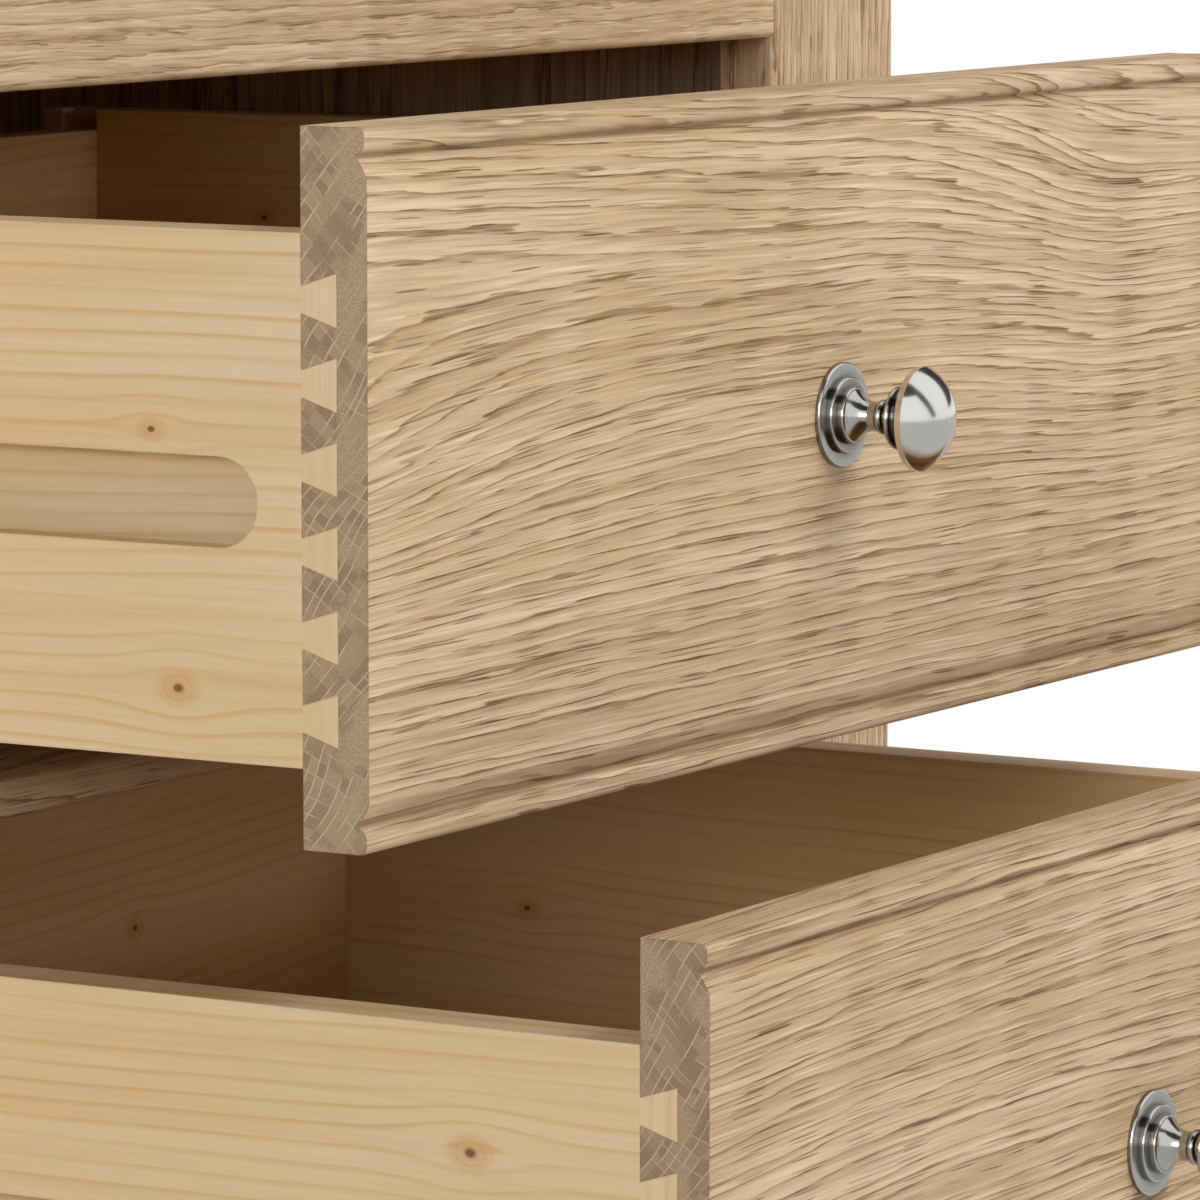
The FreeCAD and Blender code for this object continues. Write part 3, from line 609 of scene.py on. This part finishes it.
def finish_oak(node, oak, grain, depth=0.07, slope=0.1, spacing=0.0045, stave=0.0, tone=0.0,
               shift=(0, 0, 0), wave=0.008, arch=None, short=1.0, moulded=False, inside=0, pores=1.0):
    """Finishes one board in oak. The rings lie spacing apart and wander by wave. They go round a pith that
    runs depth behind the face and tilts by slope along the board, or follow an arch. shift moves the figure
    along the board's axes. stave is the width of the staves that the board is glued up from. tone shades
    the wood, short makes its pores that many times shorter, and pores is how strong they are. A moulded
    board gets painted shade along the quirks at its edges. inside is the sign of the direction across it
    in which its inner side looks, which gets painted shade."""
    material, w = new_material(node + "_oak")
    place, end = board_place(w, node, grain, shift)
    shade = tone
    if stave:
        place, shade = glued_staves(w, place, stave, STAVE_SEED + depth, tone)
    along, through, across = w.split(place)
    level = w.plus(across, through)
    wobble = w.swing(w.join(along, level, 0.0), OAK_WOBBLE)
    if arch:
        drop = arch_drop(w, along, across, arch)
        radius = w.plus(w.linear(through, ARCH_SLANT, across), drop)
        bend = w.linear(wobble, wave, drop)
    else:
        back = w.plus(w.linear(along, slope, through), depth)
        radius = w.hypotenuse(back, across)
        bend = w.times(wobble, wave)
    level = w.linear(bend, FOLLOW, level)
    ring = w.calc("DIVIDE", w.linear(wobble, wave, radius), spacing)
    inputs = {"W": w.times(ring, RING_UNEVEN[0]), "Scale": 1.0, "Detail": 0.0}
    uneven = w.node("ShaderNodeTexNoise", inputs, noise_dimensions="1D").outputs[0]
    ring = w.linear(uneven, RING_UNEVEN[1], ring)
    quirk_shade = 0.0
    # A moulded board gets painted shade along its quirks
    if moulded:
        half = board_box(node, grain)[1][2]
        quirk_shade = painted_quirk_shade(w, w.plus(through, shift[1]), w.plus(across, shift[2]), half)
    # The inner side of a stile gets painted shade
    if inside:
        facing = w.times(looks_along(w, grain[2]), inside)
        shade = w.ramp(facing, *FACING, tone, tone + PAINTED_SHADE_TONE)
    if short != 1.0:
        place = w.join(w.times(along, short), through, across)
    values = {"Place": place, "Level": level, "Ring": ring, "End": end, "Tone": shade,
              "Gathered": quirk_shade, "Pores": pores}
    figure = w.node("ShaderNodeGroup", values, node_tree=oak_group(oak))
    lacquered(w, figure, oak.relief, OAK_ARRIS, OAK_GLOSS)
    dress(node, material)


# Knots: how long they are, and in radii how the lines part round them and where body and heart fade
KNOT_LENGTH = 0.72
KNOT_REACH = 2.4
KNOT_TURN = 0.5
KNOT_PUSH = 1.2
KNOT_BODY = (1.15, 0.55)
KNOT_HEART = (0.3, 0.12)
KNOT_RINGS = 5200.0


def part_lines(w, along, across, level, knots):
    """Level of the year lines once they have parted round the knots, and the shares of the knots' bodies
    and hearts. A knot is its place along and across the board, and its radius."""
    knot_share = 0.0
    heart_share = 0.0
    for knot_along, knot_across, radius in knots:
        off_along = w.minus(along, knot_along)
        off_across = w.minus(across, knot_across)
        gap = w.hypotenuse(w.times(off_along, KNOT_LENGTH), off_across)
        push = w.bell(w.calc("DIVIDE", gap, radius * KNOT_REACH))
        turn = w.plus(w.calc("ABSOLUTE", off_across), radius * KNOT_TURN)
        side = w.calc("DIVIDE", off_across, turn)
        level = w.minus(level, w.times(w.times(push, side), radius * KNOT_PUSH))
        rings = w.linear(w.calc("SINE", w.times(gap, KNOT_RINGS)), 0.12, 0.5)
        body = w.times(w.ramp(gap, *[radius * share for share in KNOT_BODY]), rings)
        heart = w.ramp(gap, *[radius * share for share in KNOT_HEART], 0.0, 0.9)
        knot_share = w.calc("MAXIMUM", body, knot_share)
        heart_share = w.calc("MAXIMUM", heart, heart_share)
    return level, knot_share, heart_share


# Pine boards: slant of the lines in depth, their wander, a routed groove's depth, and the surface
LINE_SLANT = 0.35
LINE_WANDER = 0.009
ROUTED_DEPTH = (0.0008, 0.0016)
UPRIGHT_SHIFT = 0.37
PINE_ARRIS = 0.0007
PINE_GLOSS = 0.3


def finish_pine(node, pine, grain, knots=(), spacing=0.0047, lean=0.02, shift=(0, 0, 0), colours=None,
                tails=None, inside=0):
    """Finishes one board in softwood: year lines spacing apart, which lean along the board and part round
    each knot. A knot is its place along and across the board, in the nightstand's frame, and its radius.
    shift moves the figure along the board's axes. tails is the place along the board beyond which the
    dovetails are seen, where the figure turns upright. inside is the sign of the direction in which its
    inner face looks, which gets painted warm shade. The floor of a routed groove gets painted shade."""
    material, w = new_material(node + "_pine")
    middle, half = board_box(node, grain)
    place, end = board_place(w, node, grain, shift)
    if tails is not None:
        along, through, across = w.split(place)
        beyond = w.calc("LESS_THAN", along, tails - middle[0] - shift[0])
        upright = w.join(w.plus(across, UPRIGHT_SHIFT), through, along)
        place = w.node("ShaderNodeMix", {0: beyond, 4: place, 5: upright}, data_type="VECTOR").outputs[1]
    along, through, across = w.split(place)
    wobble = w.swing(w.join(along, w.plus(across, through), 0.0), PINE_WOBBLE)
    level = w.linear(along, lean, w.linear(through, LINE_SLANT, across))
    level = w.linear(wobble, LINE_WANDER, level)
    spots = [(knot_along - middle[0] - shift[0], knot_across - middle[2] - shift[2], radius)
             for knot_along, knot_across, radius in knots]
    level, knot, heart = part_lines(w, along, across, level, spots)
    spot = w.split(w.spot())[AXES.index(grain[1])]
    deep = w.calc("ABSOLUTE", w.minus(spot, middle[1]))
    facing = looks_along(w, grain[1])
    # Share of a routed groove's floor, which gets painted shade
    routed = w.times(w.ramp(deep, *[half[1] - depth for depth in ROUTED_DEPTH]),
                     w.ramp(w.calc("ABSOLUTE", facing), *FACING))
    # Share of the inner face, which gets painted warm shade
    warm_shaded = w.ramp(w.times(facing, inside), *FACING)
    pale, warm, line = colours or (pine.pale, pine.warm, pine.line)
    values = {"Place": place, "Ring": w.calc("DIVIDE", level, spacing), "End": end, "Knot": knot,
              "Heart": heart, "Pale": rgba(pale), "Warm": rgba(warm), "Line": rgba(line),
              "Routed": routed, "Oiled": warm_shaded}
    figure = w.node("ShaderNodeGroup", values, node_tree=pine_group(pine))
    lacquered(w, figure, pine.relief, PINE_ARRIS, PINE_GLOSS)
    dress(node, material)


# Plywood: its veneer, its plies and the veneer's wide, wandering rings
VENEER = {"Pale": rgba(srgb(222, 199, 164)), "Warm": rgba(srgb(214, 186, 146)),
          "Line": rgba(srgb(198, 164, 118))}
PLY_LIGHT = srgb(196, 160, 112)
PLY_DARK = srgb(158, 118, 76)
PLIES = 5
PLY_WOBBLE = (2.0, 8.0)
PLY_WANDER = 0.06
PLY_LEAN = 0.06
PLY_SPACING = 0.011
PLY_GLOSS = 0.25


def finish_plywood(node, pine, grain):
    """Finishes a thin board in plywood: sanded veneer on its faces and five plies of alternate grain along
    its edges."""
    material, w = new_material(node + "_ply")
    place, _ = board_place(w, node, grain, (0, 0, 0))
    edge = w.ramp(w.calc("ABSOLUTE", looks_along(w, grain[1])), 0.7, 0.4)
    along, through, across = w.split(place)
    pair = 2 * board_box(node, grain)[1][1] / (PLIES / 2)
    ply = w.calc("FRACT", w.calc("DIVIDE", through, pair))
    wobble = w.swing(w.join(along, across, 0.0), PLY_WOBBLE)
    radius = w.linear(along, PLY_LEAN, across)
    radius = w.linear(wobble, PLY_WANDER, radius)
    values = {"Place": place, "Ring": w.calc("DIVIDE", radius, PLY_SPACING), **VENEER}
    figure = w.node("ShaderNodeGroup", values, node_tree=pine_group(pine))
    plies = w.mix(w.ramp(ply, 0.45, 0.55), PLY_LIGHT, PLY_DARK)
    colour = w.mix(edge, figure.outputs[0], plies)
    w.show(w.shader(colour, figure.outputs[1], {"Specular IOR Level": PLY_GLOSS}))
    dress(node, material)


# Metal: bumps per metre of its noises, the depth of its lines, and the painted shade in its hollows
METAL_SMUDGES = (160.0, 160.0, 160.0)
METAL_LINES = (900.0, 2600.0, 5200.0)
METAL_RELIEF = 0.000002
PAINTED_SHADE_REACH = 0.03
PAINTED_SHADE_FADE = (0.25, 0.95)
PAINTED_HOLLOW_SHADE = 0.12


def metal_material(name, colour, polish, wear):
    """Metal with a soft cloud of handling marks in its polish, fine lines from the polishing wheel, and
    painted shade in its hollows, darkest where nearby surfaces close it in, standing in for shade and
    dark reflections."""
    material, w = new_material(name)
    place = w.spot()
    smudge = w.noise(place, METAL_SMUDGES, 3.0)
    lines = w.noise(place, METAL_LINES)
    rough = w.linear(w.ramp(smudge, 0.4, 0.75), wear, polish)
    # Painted shade and painted dark reflections: darker where nearby surfaces close the metal in
    hollow = w.node("ShaderNodeAmbientOcclusion", {"Distance": PAINTED_SHADE_REACH}, samples=8).outputs["AO"]
    dark = [value * PAINTED_HOLLOW_SHADE for value in colour]
    tint = w.mix(w.ramp(hollow, *PAINTED_SHADE_FADE), dark, colour)
    w.show(w.shader(tint, rough, {"Metallic": 1.0, "Normal": w.bump(lines, METAL_RELIEF)}))
    return material


# Nylon: its colours, bumps per metre of its noises, and the depth of its texture
NYLON_DARK = srgb(92, 78, 66)
NYLON_LIGHT = srgb(120, 104, 90)
NYLON_GRAIN = (2600.0, 2600.0, 2600.0)
NYLON_SCUFFS = (240.0, 240.0, 60.0)
NYLON_RELIEF = 0.00004


def nylon_material():
    """Matt brown nylon of the glides, with a fine moulded texture and scuffs."""
    material, w = new_material("glide_nylon")
    place = w.spot()
    grain = w.noise(place, NYLON_GRAIN)
    scuffs = w.noise(place, NYLON_SCUFFS, 3.0)
    colour = w.mix(w.ramp(scuffs, 0.4, 0.75), NYLON_DARK, NYLON_LIGHT)
    rough = w.ramp(scuffs, 0.3, 0.7, 0.5, 0.68)
    w.show(w.shader(colour, rough, {"Normal": w.bump(grain, NYLON_RELIEF)}))
    return material


SIDES = ("left", "right")
DRAWERS = ("lower", "upper")

# Axes along, through and across a board
BOARD_X = "XYZ"
BOARD_X_FLAT = "XZY"
POST = "ZYX"
SIDE_POST = "ZXY"
SIDE_RAIL = "YXZ"

# Arches on the drawer fronts
UPPER_ARCH = (-0.03, 0.05, (0.0175, 0.175, 0.008, 0.034, 0.028), (0.015, 0.155, 0.040, 0.060, 0.050))
LOWER_FALL = (0.006, 0.2, -0.37, 0.09, 0.09)
LOWER_ARCH = (-1.35, 0.0, LOWER_FALL, LOWER_FALL)


class NIGHTSTAND_OT_drawer_fronts(bpy.types.Operator):
    """Finish the two moulded oak drawer fronts"""
    bl_idname = "nightstand.drawer_fronts"
    bl_label = "Drawer fronts"

    def execute(self, context):
        oak = context.scene.nightstand.oak
        finish_oak("drawer_front_upper", oak, BOARD_X, spacing=0.0038, moulded=True, arch=UPPER_ARCH)
        finish_oak("drawer_front_lower", oak, BOARD_X, spacing=0.0034, wave=0.012, shift=(1.3, 0.02, 0.4),
                   tone=-0.55, moulded=True, arch=LOWER_ARCH)
        return {"FINISHED"}


class NIGHTSTAND_OT_face_frame(bpy.types.Operator):
    """Finish the stiles, rails and drawer blade"""
    bl_idname = "nightstand.face_frame"
    bl_label = "Frame"

    def execute(self, context):
        oak = context.scene.nightstand.oak
        pine = context.scene.nightstand.pine
        for number, side in enumerate(SIDES):
            finish_oak(f"front_stile_{side}", oak, POST, depth=0.09, slope=0.03, spacing=0.0034, tone=-0.12,
                       shift=(0.31 + 0.57 * number, 0.01, 0.11), wave=0.005, short=2.4,
                       inside=1 - 2 * number)
            finish_pine(f"rear_stile_{side}", pine, POST, shift=(0.8 + 0.4 * number, 0.0, 0.2))
        for number, level in enumerate(("top", "bottom")):
            finish_oak(f"{level}_rail_front", oak, BOARD_X, depth=0.06, slope=0.06, spacing=0.0042,
                       tone=0.55, shift=(0.77 + 0.43 * number, 0.0, 0.035), short=1.8, pores=0.6)
            finish_pine(f"{level}_rail_rear", pine, BOARD_X, shift=(1.3 + 0.6 * number, 0.0, 0.1))
        finish_oak("drawer_blade", oak, BOARD_X_FLAT, depth=0.08, shift=(0.2, 0.0, 0.05))
        return {"FINISHED"}


class NIGHTSTAND_OT_panels(bpy.types.Operator):
    """Finish the top board, side panels, back panel and bottom board"""
    bl_idname = "nightstand.panels"
    bl_label = "Panels"

    def execute(self, context):
        oak = context.scene.nightstand.oak
        pine = context.scene.nightstand.pine
        finish_oak("top_board", oak, BOARD_X_FLAT, depth=0.05, slope=0.03, spacing=0.0042, stave=0.1045)
        for number, side in enumerate(SIDES):
            finish_oak(f"side_panel_{side}", oak, SIDE_POST, depth=0.05 + 0.01 * number, slope=0.03,
                       spacing=0.0042, stave=0.092, shift=(0.4 + number, 0.0, 0.02))
        finish_plywood("back_panel", pine, POST)
        finish_plywood("bottom_board", pine, BOARD_X_FLAT)
        return {"FINISHED"}


class NIGHTSTAND_OT_legs(bpy.types.Operator):
    """Finish the tapered legs and their glides"""
    bl_idname = "nightstand.legs"
    bl_label = "Legs"

    def execute(self, context):
        oak = context.scene.nightstand.oak
        for row, place in enumerate(("front", "rear")):
            for number, side in enumerate(SIDES):
                finish_oak(f"leg_{place}_{side}", oak, SIDE_POST, depth=0.06, slope=0.03, spacing=0.0034,
                           shift=(0.27 + 0.8 * row + 0.33 * number, 0.01, 0.012), tone=-0.1)
        dress("leg_glides", nylon_material())
        return {"FINISHED"}


class NIGHTSTAND_OT_drawer_boxes(bpy.types.Operator):
    """Finish the pine drawer sides and backs and the plywood bottoms"""
    bl_idname = "nightstand.drawer_boxes"
    bl_label = "Drawer boxes"

    KNOTS = {
        "drawer_side_left_upper": ((-0.1553, 0.4160, 0.0032), (-0.1620, 0.3591, 0.0046),
                                   (0.0625, 0.384, 0.004)),
        "drawer_side_left_lower": ((-0.2371, 0.2627, 0.0048), (-0.0595, 0.214, 0.004)),
        "drawer_side_right_lower": ((-0.0031, 0.2382, 0.0036), (-0.2025, 0.262, 0.004)),
        "drawer_side_right_upper": ((-0.1005, 0.372, 0.0046), (0.0845, 0.431, 0.0036)),
        "drawer_back_lower": ((0.091, 0.243, 0.004),),
        "drawer_back_upper": ((-0.112, 0.402, 0.0045), (0.064, 0.436, 0.003)),
    }

    def execute(self, context):
        pine = context.scene.nightstand.pine
        for row, drawer in enumerate(DRAWERS):
            front_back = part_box(f"drawer_front_{drawer}")[1][1]
            for number, side in enumerate(SIDES):
                node = f"drawer_side_{side}_{drawer}"
                finish_pine(node, pine, SIDE_RAIL, self.KNOTS[node], lean=0.012 - 0.03 * number,
                            shift=(0.5 * row + 0.3 * number, 0.02, 0.13 * row + 0.07 * number),
                            tails=front_back, inside=1 - 2 * number)
            node = f"drawer_back_{drawer}"
            finish_pine(node, pine, BOARD_X, self.KNOTS[node], lean=-0.04, shift=(0.9 + row, 0.0, 0.4),
                        inside=-1)
            finish_plywood(f"drawer_bottom_{drawer}", pine, BOARD_X_FLAT)
        return {"FINISHED"}


class NIGHTSTAND_OT_runners(bpy.types.Operator):
    """Finish the cleats, bearers and runner strips inside the cabinet"""
    bl_idname = "nightstand.runners"
    bl_label = "Runners"

    BEECH = (srgb(208, 168, 128), srgb(198, 156, 114), srgb(172, 126, 84))

    def execute(self, context):
        pine = context.scene.nightstand.pine
        for number, side in enumerate(SIDES):
            finish_pine(f"top_cleat_{side}", pine, SIDE_RAIL, shift=(0.6 * number, 0.1, 0.2))
            for row, drawer in enumerate(DRAWERS):
                finish_pine(f"bearer_{drawer}_{side}", pine, SIDE_RAIL,
                            shift=(0.7 * number + row, 0.1, 0.3))
                finish_pine(f"runner_{drawer}_{side}", pine, SIDE_RAIL, spacing=0.0022, colours=self.BEECH,
                            shift=(0.4 * number + row, 0.0, 0.5))
        return {"FINISHED"}


class NIGHTSTAND_OT_knobs(bpy.types.Operator):
    """Finish the polished knobs and their plates"""
    bl_idname = "nightstand.knobs"
    bl_label = "Knobs"

    WEAR = 0.06

    def execute(self, context):
        metal = context.scene.nightstand.metal
        polished = metal_material("polished_nickel", metal.nickel, metal.polish, self.WEAR)
        for drawer in DRAWERS:
            dress(f"knob_{drawer}", polished)
            dress(f"knob_plate_{drawer}", polished)
        return {"FINISHED"}


class NIGHTSTAND_OT_fasteners(bpy.types.Operator):
    """Finish the screws, bolts, washers and nuts"""
    bl_idname = "nightstand.fasteners"
    bl_label = "Fasteners"

    POLISH = 0.28
    WEAR = 0.2
    NODES = ("leg_bolts", "leg_washers", "leg_nuts", "runner_screws", "cleat_screws", "back_screws",
             "drawer_bottom_screws_lower", "drawer_bottom_screws_upper",
             "knob_screw_lower", "knob_screw_upper")

    def execute(self, context):
        metal = context.scene.nightstand.metal
        plated = metal_material("zinc_plate", metal.zinc, self.POLISH, self.WEAR)
        for node in self.NODES:
            dress(node, plated)
        return {"FINISHED"}


def seen_directly(w):
    """1 for rays that come from the camera or off polished metal, and 0 for rays that light a surface."""
    path = w.node("ShaderNodeLightPath").outputs
    direct = w.calc("MAXIMUM", path["Is Camera Ray"], path["Is Glossy Ray"])
    return w.calc("MAXIMUM", direct, path["Is Transmission Ray"])


def disc_surface(radius, rings, spokes, height=0.0):
    """Flat disc: a point at radius * s in the direction t, for s from 0 to 1 and t round the circle."""
    reach = np.linspace(0.0, radius, rings + 1)[1:, None]
    turn = np.linspace(0.0, 2.0 * np.pi, spokes, endpoint=False)[None, :]
    grid = np.stack([reach * np.cos(turn), reach * np.sin(turn), np.zeros_like(reach * turn)], axis=2)
    points = np.concatenate([np.zeros((1, 3)), grid.reshape(-1, 3)]) + np.array((0.0, 0.0, height))
    number = 1 + np.arange(rings * spokes).reshape(rings, spokes)
    onward = np.roll(number, -1, axis=1)
    quads = np.stack([number[:-1], number[1:], onward[1:], onward[:-1]], axis=2).reshape(-1, 4)
    fan = np.stack([np.zeros(spokes, int), number[0], onward[0]], axis=1)
    return points, quads.tolist() + fan.tolist()


DOME_RADIUS = 2.6
DOME_MIDDLE = (0.0, -0.25, 0.40)
DOME_STEPS = 24


def dome_surface(low_span, high_span, heights):
    """Part of a dome round the drawer fronts: a point at the dome's radius, at the height angle h between
    the two heights, and in the direction t, turned from straight in front towards the left, whose span goes
    from low_span at the lower height to high_span at the upper one. All angles are in degrees."""
    share = np.linspace(0.0, 1.0, DOME_STEPS + 1)
    rise = np.radians(heights[0] + (heights[1] - heights[0]) * share)[:, None]
    first = (low_span[0] + (high_span[0] - low_span[0]) * share)[:, None]
    last = (low_span[1] + (high_span[1] - low_span[1]) * share)[:, None]
    turn = np.radians(first + (last - first) * share[None, :])
    level = np.cos(rise)
    grid = np.stack([-np.sin(turn) * level, -np.cos(turn) * level, np.sin(rise) + 0.0 * turn], axis=2)
    points = (DOME_RADIUS * grid + np.array(DOME_MIDDLE)).reshape(-1, 3)
    number = np.arange((DOME_STEPS + 1) ** 2).reshape(DOME_STEPS + 1, DOME_STEPS + 1)
    faces = np.stack([number[:-1, :-1], number[:-1, 1:], number[1:, 1:], number[1:, :-1]], axis=2)
    return points, faces.reshape(-1, 4).tolist()


def make_object(name, points, faces):
    """A mesh object at the origin from arrays of points and faces."""
    mesh = bpy.data.meshes.new(name)
    mesh.from_pydata(points.tolist(), [], faces)
    mesh.update()
    made = bpy.data.objects.new(name, mesh)
    bpy.context.scene.collection.objects.link(made)
    return made


WHITE = (1.0, 1.0, 1.0, 1.0)

# Floor: radius, rings and spokes of its disc, where it fades, and its surface
FLOOR_DISC = (30.0, 12, 96)
FLOOR_FADE = (0.75, 1.9)
FLOOR_CLOUDS = (9.0, 9.0, 9.0)
FLOOR_SHADE = 0.97
FLOOR_ROUGHNESS = 0.7
FLOOR_GLOSS = 0.2

# Cards: name, lower span, upper span, heights and grey
CARDS = (
    ("front_card", (-22.0, -12.0), (2.0, 24.0), (2.0, 68.0), 0.10),
    ("right_card", (-125.0, -62.0), (-125.0, -78.0), (6.0, 62.0), 0.05),
    ("top_card", (8.0, 95.0), (0.0, 120.0), (42.0, 80.0), 0.05),
    ("rear_card", (-215.0, -125.0), (-215.0, -125.0), (-1.0, 60.0), 0.08),
)
MAT_DISC = (9.0, 6, 64, 0.004)
MAT_SHADE = 0.55

# Lamps: name, place, width and height, and whether polished metal mirrors it
LAMPS = (
    ("key", (-2.8, -0.62, 1.0), (1.3, 0.9), True),
    ("fill", (0.1, -3.0, 0.83), (0.9, 0.6), False),
    ("high", (0.3, -2.0, 2.55), (1.2, 1.2), False),
    ("rear", (1.9, 2.1, 2.3), (1.6, 1.6), False),
)
LAMP_AIM = (0.0, -0.15, 0.33)

# Camera: width of its frame in millimetres, and its nearest and furthest sight
SENSOR_WIDTH = 36.0
CAMERA_SIGHT = (0.05, 100.0)


class NIGHTSTAND_OT_studio(bpy.types.Operator):
    """Lay the floor and set up the lamps, the white surround and the camera"""
    bl_idname = "nightstand.studio"
    bl_label = "Studio"

    def lamp(self, name, place, size, power, mirrored):
        """A soft lamp that looks at the middle of the nightstand. size is its width and height, and only
        a mirrored one shows in polished metal."""
        light = bpy.data.lights.new(name, "AREA")
        light.energy = power
        light.shape = "RECTANGLE"
        light.size, light.size_y = size
        made = bpy.data.objects.new(name, light)
        towards = [aim - at for aim, at in zip(LAMP_AIM, place)]
        flat = math.hypot(towards[0], towards[1])
        made.location = place
        made.rotation_euler = (math.atan2(flat, -towards[2]), 0.0, math.atan2(-towards[0], towards[1]))
        made.visible_camera = False
        made.visible_glossy = mirrored
        bpy.context.scene.collection.objects.link(made)

    def floor(self, colour):
        """Pale floor that keeps the shadow near the nightstand and fades into white further out."""
        points, faces = disc_surface(*FLOOR_DISC)
        floor = make_object("floor", points, faces)
        material, w = new_material("pale_floor")
        place = w.spot()
        far = w.node("ShaderNodeVectorMath", {0: place}, operation="LENGTH").outputs["Value"]
        cloud = w.noise(place, FLOOR_CLOUDS, 4.0)
        tint = w.mix(cloud, [value * FLOOR_SHADE for value in colour], colour)
        matt = w.shader(tint, FLOOR_ROUGHNESS, {"Specular IOR Level": FLOOR_GLOSS})
        white = w.node("ShaderNodeEmission", {"Color": WHITE, "Strength": 1.0}).outputs[0]
        fade = w.times(w.ramp(far, *FLOOR_FADE), seen_directly(w))
        w.show(w.node("ShaderNodeMixShader", {0: fade, 1: matt, 2: white}).outputs[0])
        floor.data.materials.append(material)

    def cards(self):
        """Dark cards and a grey mat that glow at a fixed grey and show only in reflections, as a studio has
        them to shape polished metal.
        """
        for name, low_span, high_span, heights, shade in CARDS:
            self.card(name, dome_surface(low_span, high_span, heights), shade)
        self.card("grey_mat", disc_surface(*MAT_DISC), MAT_SHADE)

    def card(self, name, surface, shade):
        """One card that glows a plain grey and shows only in reflections."""
        made = make_object(name, *surface)
        material, w = new_material(name + "_matt")
        grey = rgba((shade, shade, shade))
        w.show(w.node("ShaderNodeEmission", {"Color": grey, "Strength": 1.0}).outputs[0])
        made.data.materials.append(material)
        made.visible_camera = False
        made.visible_diffuse = False
        made.visible_shadow = False
        made.visible_transmission = False

    def surround(self, level):
        """World that is white to the camera and in reflections, and lights the wood evenly."""
        world = bpy.data.worlds.new("white_surround")
        world.use_nodes = True
        world.node_tree.nodes.clear()
        w = Wiring(world.node_tree)
        strength = w.linear(seen_directly(w), 1.0 - level, level)
        light = w.node("ShaderNodeBackground", {"Color": WHITE, "Strength": strength}).outputs[0]
        w.node("ShaderNodeOutputWorld", {"Surface": light})
        bpy.context.scene.world = world

    def camera(self, studio):
        """The camera at the photograph's place, heading and tilt."""
        camera = bpy.data.objects.new("camera", bpy.data.cameras.new("camera"))
        camera.data.sensor_width = SENSOR_WIDTH
        camera.data.lens = studio.lens
        camera.data.clip_start, camera.data.clip_end = CAMERA_SIGHT
        camera.location = studio.camera_place
        camera.rotation_euler = (math.pi / 2 - studio.camera_tilt, 0.0, -studio.camera_heading)
        bpy.context.scene.collection.objects.link(camera)
        bpy.context.scene.camera = camera

    def execute(self, context):
        studio = context.scene.nightstand.studio
        context.scene.view_settings.view_transform = "Standard"
        self.floor(studio.floor)
        self.surround(studio.sky)
        self.cards()
        for name, place, size, mirrored in LAMPS:
            self.lamp(name + "_lamp", place, size, getattr(studio, name + "_power"), mirrored)
        self.camera(studio)
        return {"FINISHED"}


OPERATORS = (
    NIGHTSTAND_OT_studio,
    NIGHTSTAND_OT_drawer_fronts,
    NIGHTSTAND_OT_face_frame,
    NIGHTSTAND_OT_panels,
    NIGHTSTAND_OT_legs,
    NIGHTSTAND_OT_drawer_boxes,
    NIGHTSTAND_OT_runners,
    NIGHTSTAND_OT_knobs,
    NIGHTSTAND_OT_fasteners,
)


class NIGHTSTAND_PT_panel(bpy.types.Panel):
    """Lists the nightstand's settings and operators"""
    bl_idname = "NIGHTSTAND_PT_panel"
    bl_label = "Nightstand"
    bl_space_type = "VIEW_3D"
    bl_region_type = "UI"
    bl_category = "Nightstand"

    def draw(self, context):
        settings = context.scene.nightstand
        for part in (settings.oak, settings.pine, settings.metal, settings.studio):
            box = self.layout.box()
            for name in part.__annotations__:
                box.prop(part, name)
        for operator in OPERATORS:
            self.layout.operator(operator.bl_idname)


SETTINGS = (OakFinish, PineFinish, MetalFinish, StudioSettings, NightstandSettings)
CLASSES = SETTINGS + OPERATORS + (NIGHTSTAND_PT_panel,)


def register():
    for made in CLASSES:
        bpy.utils.register_class(made)
    bpy.types.Scene.nightstand = bpy.props.PointerProperty(type=NightstandSettings)


def unregister():
    del bpy.types.Scene.nightstand
    for made in reversed(CLASSES):
        bpy.utils.unregister_class(made)


def main():
    register()
    for operator in OPERATORS:
        group, name = operator.bl_idname.split(".")
        getattr(getattr(bpy.ops, group), name)()


if __name__ == "__main__":
    main()
